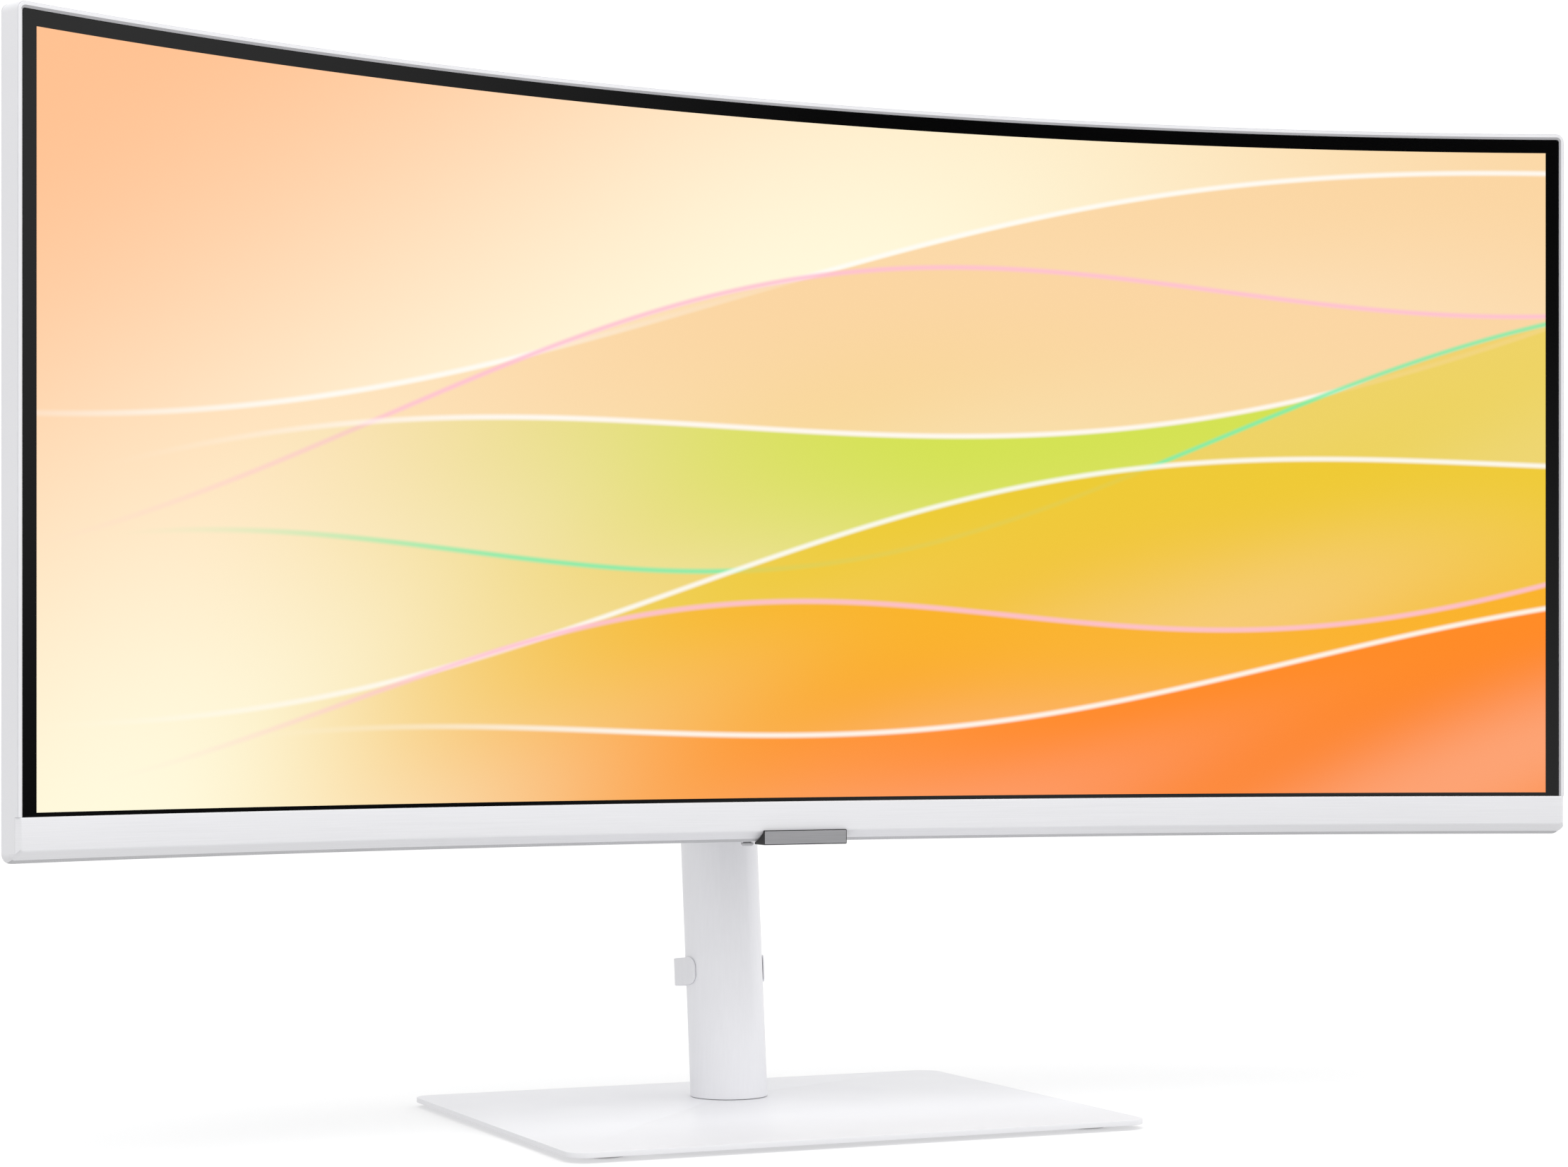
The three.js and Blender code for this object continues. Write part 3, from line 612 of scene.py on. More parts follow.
# ---------------------------------------------------------------- the screen and its frame

def along_head(end, near_end=()):
    """Arc stations from end to end, with closer ones towards both ends."""
    inner = min(near_end, default=end)
    outer = sorted({s for s in (*near_end, end) if s > inner})
    middle = spaced(-inner, inner, STATION_STEP)
    return [-s for s in reversed(outer)] + middle + outer


def curved_slab(name, outline, front, back, material):
    """A slab that follows the curve, from a symmetric outline of (arc, top, bottom) stations."""
    rings = []
    for s, top, bottom in outline:
        corners = [(front, top), (front, bottom), (back, bottom), (back, top)]
        rings.append([bent(s, depth, height) for depth, height in corners])
    return loft(name, rings, material)


def corner_drop(distance_to_end, radius):
    """How far a rounded corner has come down, at a distance from the end of the edge."""
    if distance_to_end >= radius:
        return 0.0
    reach = radius - distance_to_end
    return radius - math.sqrt(max(0.0, radius ** 2 - reach ** 2))


GLASS_CORNER = 1.1 * MM
FILM_FRONT = -0.05 * MM
FILM_BACK = -0.01 * MM


def make_panel(black, picture):
    """The glass with its black border, and the lit area as a film on its face."""
    glass_half = PANEL_HALF - SEAM
    near = [glass_half - GLASS_CORNER * (1 - math.sin(math.radians(a))) for a in (0, 25, 45, 65, 80)]
    outline = []
    for s in along_head(glass_half, near):
        drop = corner_drop(glass_half - abs(s), GLASS_CORNER)
        outline.append((s, PANEL_TOP - SEAM - drop, GLASS_LOW))
    glass = curved_slab("panel_glass", outline, 0, GLASS_THICKNESS, black)
    bevel(glass, 0.15 * MM, 2, 50)
    film = [(s, PICTURE_HALF_HEIGHT, -PICTURE_HALF_HEIGHT) for s in along_head(PICTURE_HALF_ARC)]
    lit = curved_slab("picture", film, FILM_FRONT, FILM_BACK, picture)
    lit.visible_diffuse = False
    for piece in (glass, lit):
        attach(piece, "head")
        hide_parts("lcd_panel")


TOP_CORNER = 1.4 * MM
LOW_CORNER = 2.7 * MM
LOW_CORNER_HEIGHT = CHAMFER_LOW + LOW_CORNER
LOW_REACH = PANEL_HALF - (LOW_CORNER - RIM)

# The textured band under the rim: its front and back depths in millimetres, and how far it swells down.
BAND_FRONT = 5.85
BAND_BACK = 10.2
BAND_DROP = CHAMFER_LOW - HEAD_LOW

# The rim's section: how far out from the glass and how deep behind its face, in millimetres.
RIM_SECTION = [
    (0, 1.4), (0, -0.02), (0.98, -0.6), (2.0, -0.55), (2.15, -0.35), (2.24, 0.3), (2.36, 0.0),
    (2.5, 0.3), (2.5, BAND_FRONT), (2.5, BAND_BACK), (2.5, 11.5), (0.3, 11.5), (0.3, 2.6),
]
INNER_SLOPE = 1

# The rim's front stands full above the first height, is cut back behind the chin below it, and leaves
# only the band below the second. The rim has two rows of points a hair apart where the chin's cut is.
HAIR = 0.01 * MM
CHIN_CUT = CHIN_TOP + 0.05 * MM
BAND_CUT = LOW_CORNER_HEIGHT + 0.03 * MM
BEHIND_CHIN = 1.8 * MM


def quarter_turn(s, height, radius, first, last):
    """(arc, height, outward arc, outward height) at points round a corner, between two angles."""
    places = []
    steps = 6
    for k in range(steps + 1):
        angle = math.radians(first + (last - first) * k / steps)
        across, up = math.cos(angle), math.sin(angle)
        places.append((s + radius * across, height + radius * up, across, up))
    return places


def rim_path():
    """The rim's inner line, all the way round: up the right, over, down the left and back underneath."""
    half_top = PANEL_HALF - TOP_CORNER
    side_top = PANEL_TOP - TOP_CORNER
    side = [BAND_CUT, CHIN_CUT - HAIR] + spaced(CHIN_CUT, side_top, 20 * MM)[:-1]
    right = [(PANEL_HALF, h, 1.0, 0.0) for h in side]
    right += quarter_turn(half_top, side_top, TOP_CORNER, 0, 90)
    top = [(s, PANEL_TOP, 0.0, 1.0) for s in reversed(spaced(-half_top, half_top, STATION_STEP)[1:-1])]
    left = [(-s, h, -outward, up) for s, h, outward, up in reversed(right)]
    low = CHAMFER_LOW + RIM
    low_corner = LOW_CORNER - RIM
    under = quarter_turn(-LOW_REACH, LOW_CORNER_HEIGHT, low_corner, 180, 270)
    under += [(s, low, 0.0, -1.0) for s in spaced(-LOW_REACH, LOW_REACH, STATION_STEP)[1:-1]]
    under += quarter_turn(LOW_REACH, LOW_CORNER_HEIGHT, low_corner, -90, 0)
    return right + top + left + under


def rim_point(s, h, out_s, out_h, outward, depth):
    """A point of the rim's section at a place on its path; its front is cut back behind the chin."""
    wide = outward * MM
    tall = wide * RIM_TOP / RIM if out_h > 0 else wide
    depth = depth * MM
    band_front = BAND_FRONT * MM
    band_back = BAND_BACK * MM
    if h < CHIN_CUT - HAIR / 2:
        depth = max(depth, BEHIND_CHIN)
    if h < BAND_CUT - HAIR / 2:
        depth = max(depth, band_front)
    if out_h < 0 and outward > 1:
        swell = BAND_DROP * min(1.0, (depth - band_front) / (band_back - band_front))
        s -= swell * max(-1.0, min(1.0, s / LOW_REACH)) * (1 - abs(out_s))
        h += swell * out_h
    return bent(s + out_s * wide, depth, h + out_h * tall)


def make_rim(material, band_shade_material, slope_shade_material):
    """The white frame round the glass, with painted shade on its inner slope at the top and right, and a
    textured band underneath whose downward faces are painted darker as shade.
    """
    path = rim_path()
    vertices = [rim_point(*place, *corner) for place in path for corner in RIM_SECTION]
    faces = grid_faces(len(path), len(RIM_SECTION), wrap_rows=True)
    rim = new_piece("rim", vertices, faces, material, 24)
    rim.data.materials.append(band_shade_material)
    rim.data.materials.append(slope_shade_material)
    # Painted shade and painted reflection of the black glass: the inner slope along the top and the right
    # side takes the grey material.
    for index, polygon in enumerate(rim.data.polygons):
        station, place = divmod(index, len(RIM_SECTION))
        _, h, out_s, out_h = path[station]
        if place == INNER_SLOPE and h > CHIN_TOP and max(out_h, out_s) > 0.3:
            polygon.material_index = 2
    face_outwards(rim, 24)
    # Painted shade: faces low on the head that look down take the darker band material.
    for polygon in rim.data.polygons:
        if polygon.normal.z < -0.8 and polygon.center.z < HEAD_Z + CHAMFER_LOW:
            polygon.material_index = 1
    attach(rim, "head")
    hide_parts("mid_frame")


CHIN_PROUD = -1.2 * MM
CHIN_FOOT = 5.8 * MM
CHIN_END = HEAD_HALF - 0.05 * MM
CHIN_END_DEPTH = 1.7 * MM
CHIN_BEVEL = 1.3 * MM
FACE_CORNER = 1.4 * MM
TOP_CHAMFER = 0.55 * MM
LIP_LOW = GLASS_LOW - SEAM

# The hollow behind the chin: its depth and its floor over the face's lower edge, and how much deeper and
# lower both get towards the rounded ends.
HOLLOW_FRONT = 0.6 * MM
HOLLOW_RISE = 1.6 * MM
HOLLOW_DEEPER = 1.12 * MM
HOLLOW_LOWER = 2.7 * MM


def chin_ring(side, face_s, face_low, foot_s, foot_low, foot_depth, inside_low, inside):
    """One section of the chin; its foot may stand further along the arc than its face."""
    corners = [
        (face_s, CHIN_PROUD + TOP_CHAMFER, CHIN_TOP, 0.12),
        (face_s, CHIN_PROUD, CHIN_TOP - TOP_CHAMFER, 0.12),
        (face_s, CHIN_PROUD, face_low, 0.7),
        (foot_s, foot_depth, foot_low, 0.35),
        (foot_s, CHIN_FOOT, foot_low, 0),
        (face_s, CHIN_FOOT, inside_low, 0),
        (face_s, inside, inside_low, 0),
        (face_s, inside, LIP_LOW, 0),
        (face_s, -SEAM, LIP_LOW, 0),
        (face_s, -SEAM, CHIN_TOP, 0.1),
    ]
    corners = [(*place, radius * MM) for *place, radius in corners]
    return [bent(side * s, depth, height) for s, depth, height in rounded(corners)]


def chin_end_ring(side):
    """The chin's last section: the thin outer edge of the bevel, with as many corners as the others."""
    front = CHIN_END_DEPTH
    behind = CHIN_END_DEPTH + 0.05 * MM
    low = LOW_CORNER_HEIGHT
    corners = [
        (front, CHIN_TOP, 0.12), (front, CHIN_TOP - TOP_CHAMFER, 0.12),
        (front, low, 0.7), (front, low, 0.35),
        (behind, low, 0), (behind, low, 0), (behind, low, 0),
        (behind, LIP_LOW, 0), (behind, LIP_LOW, 0), (behind, CHIN_TOP, 0.1),
    ]
    corners = [(CHIN_END, depth, height, radius * MM) for depth, height, radius in corners]
    return [bent(side * s, depth, height) for s, depth, height in rounded(corners)]


def make_chin(material):
    """The strip below the picture: a flat face, a foot that slopes back, rounded and bevelled ends."""
    def corner_ring(side, turned):
        across, up = math.sin(turned), math.cos(turned)
        return chin_ring(
            side, face_flat + FACE_CORNER * across, CHIN_LOW + FACE_CORNER * (1 - up),
            CHIN_END - LOW_CORNER * (1 - across), LOW_CORNER_HEIGHT - LOW_CORNER * up,
            CHIN_END_DEPTH + (CHIN_FOOT - CHIN_END_DEPTH) * up,
            hollow_low - HOLLOW_LOWER * across, HOLLOW_FRONT + HOLLOW_DEEPER * across)

    hollow_low = CHIN_LOW + HOLLOW_RISE
    face_flat = CHIN_END - CHIN_BEVEL - FACE_CORNER
    turns = [math.radians(10 * k) for k in range(1, 10)]
    flat_end = CHIN_END - LOW_CORNER
    rings = [chin_end_ring(-1)]
    rings += [corner_ring(-1, turned) for turned in reversed(turns)]
    for s in spaced(-flat_end, flat_end, STATION_STEP):
        face_s = s * face_flat / flat_end
        rings.append(chin_ring(1, face_s, CHIN_LOW, s, CHAMFER_LOW, CHIN_FOOT, hollow_low, HOLLOW_FRONT))
    rings += [corner_ring(1, turned) for turned in turns]
    rings.append(chin_end_ring(1))
    chin = loft("chin", rings, material, 24)
    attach(chin, "head")
    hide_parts("chin_bezel")


def plate(name, low, high, radius, material):
    """A flat plate facing forward, with rounded corners, between two corners of its box."""
    outline = rounded([(low.x, low.z, radius), (high.x, low.z, radius),
                       (high.x, high.z, radius), (low.x, high.z, radius)])
    piece = loft(name, [[(x, y, z) for x, z in outline] for y in (low.y, high.y)], material, 40)
    bevel(piece, 0.12 * MM, 2, 50)
    return piece


def make_badge(face_material, edge_material):
    """A brushed face, blank, on a black backing that shows as a thin line round it."""
    low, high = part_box("badge_plate")
    line = Vector((0.4 * MM, 0, 0.4 * MM))
    set_back = Vector((0, 0.2 * MM, 0))
    face_high = Vector((high.x, low.y + 0.35 * MM, high.z))
    back = plate("badge_backing", low + set_back, high, 0.6 * MM, edge_material)
    face = plate("badge_face", low + line, face_high - line, 0.3 * MM, face_material)
    for piece, slot in ((back, "black_plastic"), (face, "badge_metal")):
        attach(piece, "head")
        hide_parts("badge_plate")


# ---------------------------------------------------------------- the rear shell

DEPTH_AT_ENDS = 0.12
DRAWN_IN = 2.9


def shell_place(s, depth):
    """The shell is deepest in the middle, and draws in towards its left and right edges."""
    if depth <= COVER_FRONT:
        return s, depth
    swell = DEPTH_AT_ENDS + (1 - DEPTH_AT_ENDS) * (1 - abs(s / HEAD_HALF) ** 3)
    deeper = (depth - COVER_FRONT) * swell
    return s * (1 - DRAWN_IN * deeper), COVER_FRONT + deeper


def shell_rings(section, end, top_corner, near_end):
    """The section at every station, brought in at the ends for the rounded corners of the head."""
    highest = max(height for _, height in section)
    rings = []
    for s in along_head(end, near_end):
        bottom_rise = corner_drop(end - abs(s), LOW_CORNER + BAND_DROP)
        top_drop = corner_drop(end - abs(s), top_corner)
        ring = []
        for depth, height in section:
            if height > 0:
                height -= top_drop * max(0.0, height / highest) ** 8
            else:
                height += bottom_rise * min(1.0, height / HEAD_LOW) ** 8
            arc, reach = shell_place(s, depth)
            ring.append(bent(arc, reach, height))
        rings.append(ring)
    return rings


# Closer stations for the shell's rounded corners: how far they are from its end, in millimetres.
NEAR_END = (9, 6.6, 5.4, 4.3, 3.3, 2.5, 1.8, 1.2, 0.7, 0.3, 0.08, 0.0)


def shell_body(name, corners, end, top_corner):
    """A closed body between its two ends, from a section of (depth, height, radius) in millimetres."""
    section = rounded([(depth * MM, height * MM, radius * MM) for depth, height, radius in corners])
    near = [end - offset * MM for offset in NEAR_END]
    return loft(name, shell_rings(section, end, top_corner, near), None, 30)


def block(x0, x1, y0, y1, z0, z1, s=0.0):
    """A block in the head's own millimetres, turned to face the shell at an arc station."""
    corners = [(x, y, z) for x in (x0, x1) for y in (y0, y1) for z in (z0, z1)]
    angle = s * MM / CURVE_RADIUS
    spin = Matrix.Rotation(-angle, 3, "Z")
    points = []
    for x, y, z in corners:
        turned = spin @ Vector((x * MM, y * MM, 0))
        points.append((CURVE_RADIUS * math.sin(angle) + turned.x,
                       HEAD_Y + CURVE_RADIUS * (math.cos(angle) - 1) + turned.y, HEAD_Z + z * MM))
    faces = [(0, 1, 3, 2), (4, 6, 7, 5), (0, 4, 5, 1), (2, 3, 7, 6), (0, 2, 6, 4), (1, 5, 7, 3)]
    return points, faces


def bar(axis, radius, low, high, x, other):
    """A round bar along Y or Z, in the head's own millimetres; `other` is its z, or its y."""
    sides = 40
    points = []
    for end in (low, high):
        for k in range(sides):
            a = 2 * math.pi * k / sides
            u, v = x + radius * math.cos(a), other + radius * math.sin(a)
            y, z = (end, v) if axis == "y" else (v, end)
            points.append((u * MM, HEAD_Y + y * MM, HEAD_Z + z * MM))
    faces = [tuple(range(sides)), tuple(range(2 * sides - 1, sides - 1, -1))]
    faces += [(k, sides + k, sides + (k + 1) % sides, (k + 1) % sides) for k in range(sides)]
    return points, faces


# All in the head's millimetres. The port row is a height; each of its square openings has its middle and
# half width along X and its half height.
PORT_ROW = -95
HDMI_X = -42
DISPLAY_PORT_X = -18
USB_C_X = 2
NETWORK_X = 22.2
USB_A_X = 46
POWER_X = -78.5
PORT_HOLES = [
    (HDMI_X, 7.75, 3.3), (DISPLAY_PORT_X, 8.8, 3.3), (USB_C_X, 4.9, 2.1),
    (NETWORK_X, 8.2, 7), (USB_A_X, 7.5, 8.1), (POWER_X, 13.5, 10),
]
PORT_ROOM = 0.4
AUDIO_X = 66
AUDIO_HOLE = 4.4
MOUNT_HALF = 62
JOG_X = -22.6
JOG_DEPTH = 18
JOG_HOLE = 4.3
SPEAKER_ARC = 250
SPEAKER_SLOT_PITCH = 9
VENT_PITCH = 23
VENTS_EACH_SIDE = 8


def shell_cutters():
    """Openings for the mounting frame, sockets, joystick, vents and speakers."""
    cutters = [block(-MOUNT_HALF, MOUNT_HALF, 30, 50, -MOUNT_HALF, MOUNT_HALF)]
    for middle, half, tall in PORT_HOLES:
        wide = half + PORT_ROOM
        tall = tall + PORT_ROOM
        cutters.append(block(middle - wide, middle + wide, 30, 60, PORT_ROW - tall, PORT_ROW + tall))
    cutters.append(bar("y", AUDIO_HOLE, 30, 60, AUDIO_X, PORT_ROW))
    cutters.append(bar("z", JOG_HOLE, -200, -180, JOG_X, JOG_DEPTH))
    for slot in range(-VENTS_EACH_SIDE, VENTS_EACH_SIDE + 1):
        cutters.append(block(-8, 8, 20, 60, 130, 133, VENT_PITCH * slot))
    for side in (-1, 1):
        for slot in range(-4, 5):
            arc = side * (SPEAKER_ARC + SPEAKER_SLOT_PITCH * slot)
            cutters.append(block(-2.5, 2.5, 14, 18, -195, -184, arc))
    return cutters


def joined_mesh(name, solids):
    """One mesh object of several closed shapes, each given as (points, faces)."""
    vertices = []
    faces = []
    for points, polygons in solids:
        start = len(vertices)
        vertices += points
        faces += [tuple(start + index for index in polygon) for polygon in polygons]
    piece = new_piece(name, vertices, faces, None)
    face_outwards(piece)
    return piece


def carve(piece, tools):
    """Cut the tools out of the piece, and delete them."""
    for tool in tools:
        modifier = piece.modifiers.new("carve", "BOOLEAN")
        modifier.operation = "DIFFERENCE"
        modifier.solver = "EXACT"
        modifier.object = tool
    bpy.context.view_layer.update()
    evaluated = piece.evaluated_get(bpy.context.evaluated_depsgraph_get())
    mesh = bpy.data.meshes.new_from_object(evaluated)
    piece.modifiers.clear()
    piece.data = mesh
    for tool in tools:
        bpy.data.objects.remove(tool)


SHELL_FRONT = 11.6
SHELL_DEPTH = 42
SHELL_WALL = 2.2


def make_rear_shell(material):
    """The rear housing: a body, hollowed out, with its openings cut through the wall."""
    high = HEAD_TOP / MM
    low = HEAD_LOW / MM
    inner_depth = SHELL_DEPTH - SHELL_WALL
    open_front = SHELL_FRONT - 0.1
    shell = shell_body("rear_shell", [
        (SHELL_FRONT, high, 0), (SHELL_FRONT, low, 0), (24, low, 1.6), (30, low + 4.7, 5), (38, -150, 40),
        (SHELL_DEPTH, -70, 50), (SHELL_DEPTH, 70, 50), (36, 140, 26), (24, 172, 10), (16, 176.2, 4),
    ], HEAD_HALF, 3.9 * MM)
    hollow = shell_body("hollow", [
        (open_front, high - SHELL_WALL, 0), (open_front, low + SHELL_WALL, 0), (23.4, low + SHELL_WALL, 1),
        (28.2, low + 6, 4), (36, -149, 38), (inner_depth, -69.5, 48), (inner_depth, 69.5, 48),
        (34, 139, 25), (22.6, 170.2, 9), (15.4, 174.2, 3),
    ], HEAD_HALF - SHELL_WALL * MM, 2.6 * MM)
    carve(shell, [hollow, joined_mesh("openings", shell_cutters())])
    shell.data.materials.clear()
    shell.data.materials.append(material)
    shade(shell, 30)
    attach(shell, "head")
    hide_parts("rear_cover")


# ---------------------------------------------------------------- the cable clip

COLUMN_FOOT_Y = 55 * MM
LEAN = math.radians(6)

CLIP_MIDDLE = 70.6 * MM
CLIP_HALF_HEIGHT = 7.15 * MM
CLIP_END_CORNER = 5.5 * MM
# The clip grips the column from a lip on each side, thin at its end, and a loop of a larger circle behind.
LIP_ANGLE = math.radians(69)
LIP_TAPER = math.radians(35)
LIP_INSIDE = 20.3 * MM
LIP_MIDDLE = 21 * MM
LIP_THIN = 20.95 * MM
LIP_THICKENS = 0.85 * MM
LOOP_INSIDE = 20.5 * MM
LOOP_OUTSIDE = 22.4 * MM
LOOP_BACK = 10 * MM
# Closer turns for the rounded end of a lip, and the even ones between, in degrees.
NEAR_LIP = (0.0, 0.6, 1.6, 3.2, 5.4, 8.0, 11.2, 15.6)
FIRST_EVEN = 20
EVEN_TURN = 4


def on_column(x, y, z):
    """A point of the column's own leaning frame, in the row frame."""
    row_y = COLUMN_FOOT_Y + y * math.cos(LEAN) + z * math.sin(LEAN)
    return (x, row_y, -y * math.sin(LEAN) + z * math.cos(LEAN))


def ray_to_circle(angle, centre, radius):
    """How far from the column's axis a circle centred behind it is met, at an angle from straight ahead."""
    toward = -math.cos(angle) * centre
    return toward + math.sqrt(radius ** 2 - centre ** 2 + toward ** 2)


def clip_ring(angle, from_lip):
    """The clip's section at an angle round the column, and at a turn from the nearer of its lips."""
    inner = max(LIP_INSIDE, ray_to_circle(angle, LOOP_BACK, LOOP_INSIDE))
    lip = LIP_THIN + LIP_THICKENS * min(1.0, from_lip / LIP_TAPER)
    outer = max(lip, ray_to_circle(angle, LOOP_BACK, LOOP_OUTSIDE))
    from_end = from_lip * LIP_MIDDLE + 0.15 * MM
    tall = CLIP_HALF_HEIGHT - corner_drop(from_end, CLIP_END_CORNER)
    inner_ease = 0.2 * MM
    ease = min(0.5 * MM, 0.6 * (outer - inner))
    corners = [
        (inner, -tall, inner_ease), (outer, -tall, ease), (outer, tall, ease), (inner, tall, inner_ease),
    ]
    ring = []
    for radius, height in rounded(corners):
        ring.append(on_column(radius * math.sin(angle), -radius * math.cos(angle), CLIP_MIDDLE + height))
    return ring


def make_clip(material):
    """A springy C round the back of the column, whose two rounded lips grip its sides."""
    near = [math.radians(a) for a in NEAR_LIP]
    sweep = 2 * (math.pi - LIP_ANGLE)
    first = math.radians(FIRST_EVEN)
    turns = near + spaced(first, sweep - first, math.radians(EVEN_TURN))
    turns += [sweep - a for a in reversed(near)]
    rings = [clip_ring(LIP_ANGLE + turn, min(turn, sweep - turn)) for turn in turns]
    clip = loft("clip", rings, material, 40)
    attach(clip, "column")
    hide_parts("cable_clip")


# ---------------------------------------------------------------- small parts in the sockets

def contact_row(first, pitch, count, width, length, low, high):
    """Evenly spaced contact strips along X, in the head's millimetres, their heights in the port row."""
    y0, y1 = length
    strips = []
    for k in range(count):
        middle = first + pitch * k
        strips.append(block(middle - width / 2, middle + width / 2, y0, y1, PORT_ROW + low, PORT_ROW + high))
    return strips


def make_contacts(material):
    """Gold strips on the socket tongues and springs in the network socket."""
    rows = contact_row(HDMI_X - 4.5, 1.0, 10, 0.5, (29, 35.2), 0.62, 0.72)
    rows += contact_row(DISPLAY_PORT_X - 4.5, 1.0, 10, 0.5, (29, 35.2), 0.62, 0.72)
    rows += contact_row(USB_C_X - 2.75, 0.5, 12, 0.25, (29, 35.2), 0.42, 0.5)
    rows += contact_row(NETWORK_X - 3.5, 1.0, 8, 0.4, (27.5, 37.5), 3.9, 4.3)
    for deck in (-4, 4):
        rows += contact_row(USB_A_X - 3.5, 2.33, 4, 1.1, (29, 36.2), deck - 0.12, deck - 0.02)
    contacts = joined_mesh("socket_contacts", rows)
    contacts.data.materials.clear()
    contacts.data.materials.append(material)
    bevel(contacts, 0.03 * MM, 1, 50)
    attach(contacts, "head")


# ---------------------------------------------------------------- the CAD parts that stay

def shading_group(name, angle):
    """Geometry nodes that smooth every face and keep the edges over the angle sharp."""
    group = bpy.data.node_groups.new(name, "GeometryNodeTree")
    group.interface.new_socket("Geometry", in_out="INPUT", socket_type="NodeSocketGeometry")
    group.interface.new_socket("Geometry", in_out="OUTPUT", socket_type="NodeSocketGeometry")
    nodes, links = group.nodes, group.links
    source = nodes.new("NodeGroupInput")
    result = nodes.new("NodeGroupOutput")
    faces = nodes.new("GeometryNodeSetShadeSmooth")
    edges = nodes.new("GeometryNodeSetShadeSmooth")
    edges.domain = "EDGE"
    edges.inputs["Shade Smooth"].default_value = False
    turn = nodes.new("GeometryNodeInputMeshEdgeAngle")
    over = nodes.new("FunctionNodeCompare")
    over.data_type = "FLOAT"
    over.operation = "GREATER_THAN"
    over.inputs["B"].default_value = math.radians(angle)
    links.new(source.outputs[0], faces.inputs["Geometry"])
    links.new(faces.outputs[0], edges.inputs["Geometry"])
    links.new(turn.outputs["Unsigned Angle"], over.inputs["A"])
    links.new(over.outputs["Result"], edges.inputs["Selection"])
    links.new(edges.outputs[0], result.inputs[0])
    return group


SMOOTH_ROUND = shading_group("smooth_round_faces", 33)

# How much each part has its edges eased, in millimetres; the rest have the usual amount. A wide edge
# has one segment more.
USUAL_EDGE = 0.2
WIDE_EDGE = 0.35
EDGES = {
    "base_plate": 0.55, "column_tube": 0.3, "column_cap": 0.5, "lift_arm": 0.7, "head_bracket": 0.6,
    "carriage": 0.4, "hinge_cap_left": 0.6, "hinge_cap_right": 0.6, "hinge_nut": 0.4,
    "foot_pad_front_left": 0.4, "foot_pad_front_right": 0.4, "foot_pad_rear_left": 0.4,
    "foot_pad_rear_right": 0.4, "badge_holder": 0.25, "jog_cap": 0.15, "usb_c_port": 0.15,
    "hdmi_port": 0.15, "display_port": 0.15, "spring_ribbon": 0.05,
}


def dress(node, piece, material):
    """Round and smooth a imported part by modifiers, over its own unchanged mesh."""
    mesh = piece.data
    edge = EDGES.get(node, USUAL_EDGE)
    if "custom_normal" in mesh.attributes:
        mesh.attributes.remove(mesh.attributes["custom_normal"])
    mesh.materials.clear()
    mesh.materials.append(material)
    weld = piece.modifiers.new("weld", "WELD")
    weld.merge_threshold = 0.001 * MM
    modifier = piece.modifiers.new("edge_round", "BEVEL")
    modifier.width = edge * MM
    modifier.segments = 3 if edge > WIDE_EDGE else 2
    modifier.limit_method = "ANGLE"
    modifier.angle_limit = math.radians(40)
    smooth = piece.modifiers.new("smooth", "NODES")
    smooth.node_group = SMOOTH_ROUND


LOOKS = {
    "stand_white": stand_white(),
    "column_white": column_white(),
    "housing_white": housing_white(),
    "rear_white": rear_white(),
    "grey_plastic": grey_plastic(),
    "black_plastic": black_plastic(),
    "rubber": rubber(),
    "steel": steel(),
    "aluminium": aluminium(),
    "screen_glass": screen_glass(),
    "optical_film": optical_film(),
    "acrylic": acrylic(),
    "circuit_board": circuit_board(),
    "badge_metal": badge_metal(),
}

for part in frame["record"]["subparts"]:
    dress(part["node"], frame["nodes"][part["node"]], LOOKS[part["material_slot"]])

make_panel(LOOKS["screen_glass"], picture_look())
make_rim(LOOKS["housing_white"], lower_band_painted_shade(), inner_slope_painted_shade())
make_chin(chin_white())
make_badge(LOOKS["badge_metal"], LOOKS["black_plastic"])
make_rear_shell(LOOKS["rear_white"])
make_clip(LOOKS["housing_white"])
make_contacts(gold())


# ---------------------------------------------------------------- floor and light

def make_floor():
    """A wide pale floor that lights nothing and shows in no gloss."""
    bpy.ops.mesh.primitive_grid_add(x_subdivisions=4, y_subdivisions=4, size=60)
    floor = bpy.context.object
    floor.name = "floor"
    look = Look("floor", (0.93, 0.93, 0.93, 1), 0.9, specular=0.0)
    look.vary_color(look.noise(3, 2), 0.004)
    look.shader.inputs["Emission Color"].default_value = (1, 1, 1, 1)
    look.shader.inputs["Emission Strength"].default_value = 0.12
    floor.data.materials.append(look.material)
    floor.visible_diffuse = False
    floor.visible_glossy = False


FULLY_WHITE = 1.05
PALE_WALL = 0.74
CEILING = 4.0


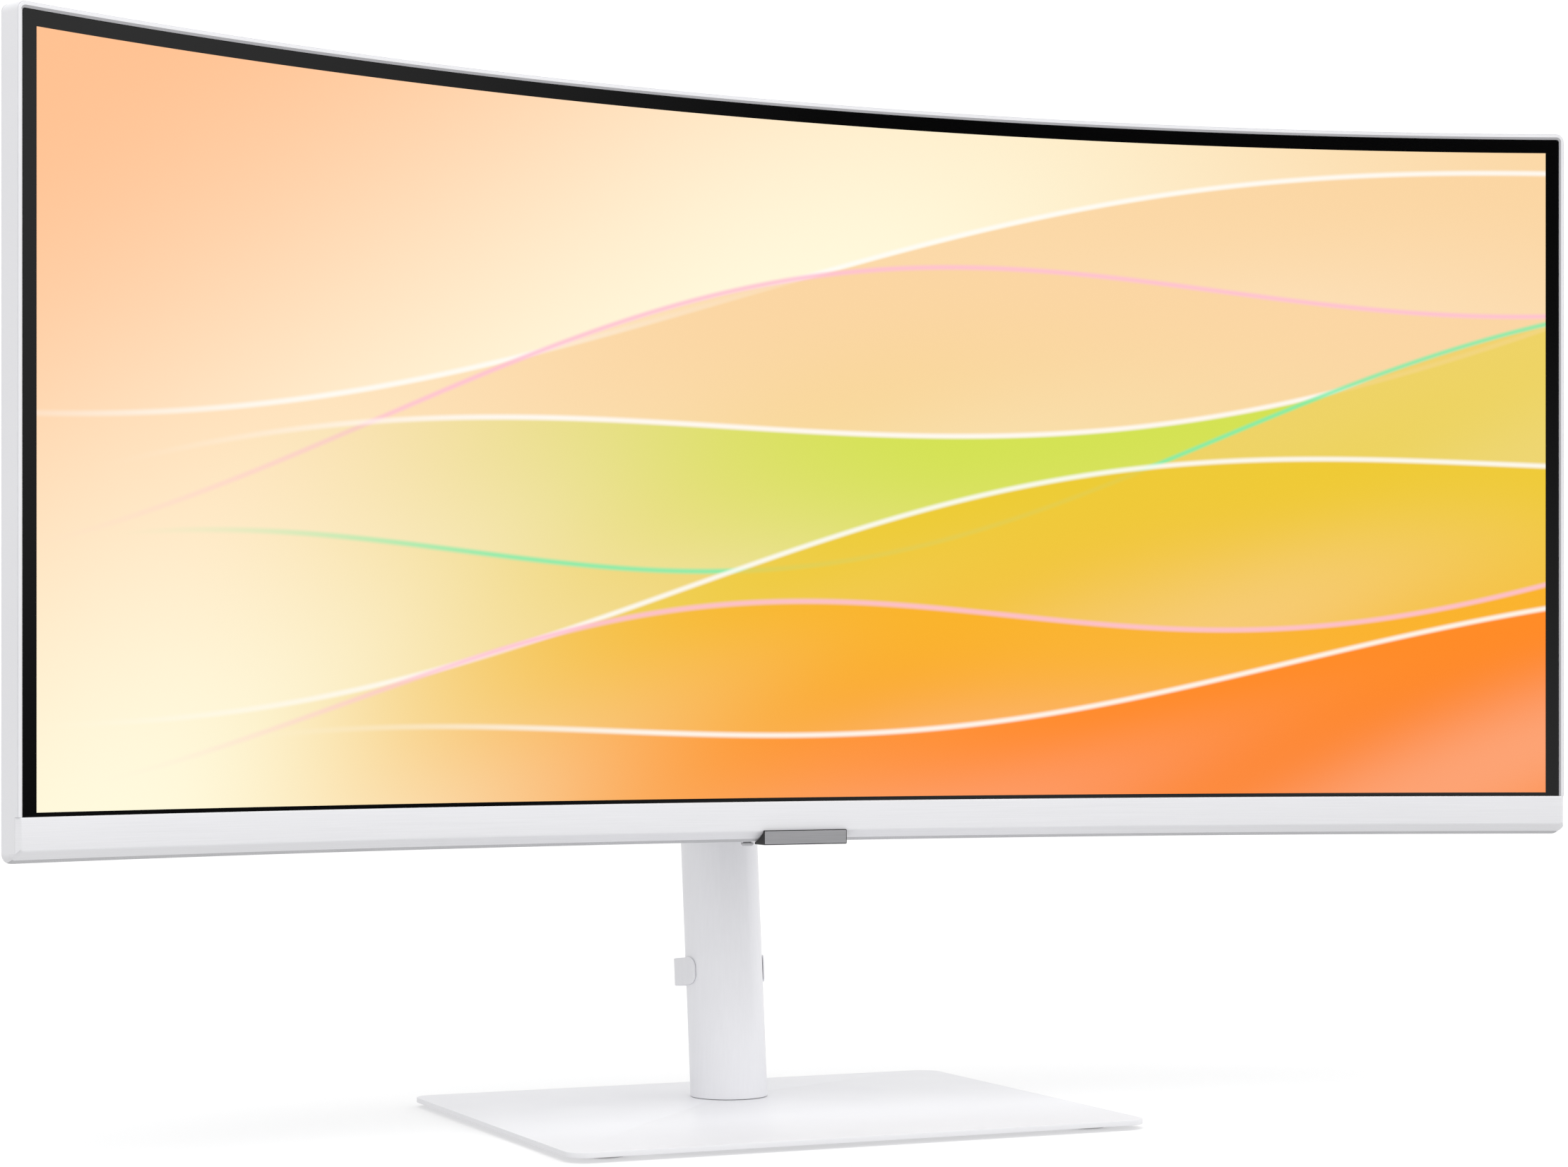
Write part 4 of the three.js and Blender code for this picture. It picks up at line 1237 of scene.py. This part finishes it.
def studio_light(up, ahead, right):
    """What matt surfaces get: white from all round, less from below, from behind and from the left."""
    from_above = up.step(-0.35, 0.1) * 0.24 + 0.8
    from_right = right.step(0.3, 1.0) * 0.3 + 1.0
    from_right_front = right.step(0.1, 0.6) * ahead.step(-0.7, -0.3).reversed() * -0.16 + 1.0
    from_behind = ahead.step(0.1, 0.9) * -0.4 + 1.0
    from_left = right.step(-1.0, -0.5) * 0.2 + 0.8
    return from_above * from_right * from_right_front * from_left * from_behind


def mirrored_room(up, ahead, right):
    """What gloss shows: a dark room in front, with two pale walls and a bright ceiling; else white."""
    right_wall = right.step(0.33, 0.82) * up.step(-0.06, 0.2)
    low_wall = up.step(-0.06, 0.12).reversed() * right.step(0.3, 0.6).reversed()
    room = (right_wall + low_wall) * PALE_WALL + up.step(0.45, 0.85) * CEILING
    elsewhere = ahead.step(-0.45, -0.1)
    return room * elsewhere.reversed() + elsewhere


def make_world():
    """The surroundings, which look plain white to the camera itself."""
    world = bpy.data.worlds.new("studio")
    world.use_nodes = True
    bpy.context.scene.world = world
    tree = world.node_tree
    background = tree.nodes["Background"]
    direction = tree.nodes.new("ShaderNodeTexCoord").outputs["Generated"]
    split = tree.nodes.new("ShaderNodeSeparateXYZ")
    tree.links.new(direction, split.inputs[0])
    up = Field(tree, split.outputs["Z"])
    ahead = Field(tree, split.outputs["Y"])
    right = Field(tree, split.outputs["X"])
    rays = tree.nodes.new("ShaderNodeLightPath")
    seen = Field(tree, rays.outputs["Is Camera Ray"])
    glossy = Field(tree, rays.outputs["Is Glossy Ray"])
    level = studio_light(up, ahead, right) * glossy.reversed() + mirrored_room(up, ahead, right) * glossy
    level = level * seen.reversed() + seen * FULLY_WHITE
    tree.links.new(level.socket, background.inputs["Strength"])
    background.inputs["Color"].default_value = (1, 1, 1, 1)


def make_lamp():
    """One wide soft lamp overhead, in front and to the left, aimed at the stand."""
    data = bpy.data.lights.new("overhead", "AREA")
    data.energy = 19
    data.size = 2.2
    lamp = bpy.data.objects.new("overhead", data)
    place = Vector((-0.4, -1.2, 2.6))
    target = Vector((0, 0, 0.2))
    lamp.location = place
    lamp.rotation_euler = (target - place).to_track_quat("-Z", "Y").to_euler()
    bpy.context.collection.objects.link(lamp)


make_floor()
make_world()
make_lamp()
bpy.context.scene.view_settings.view_transform = "Standard"
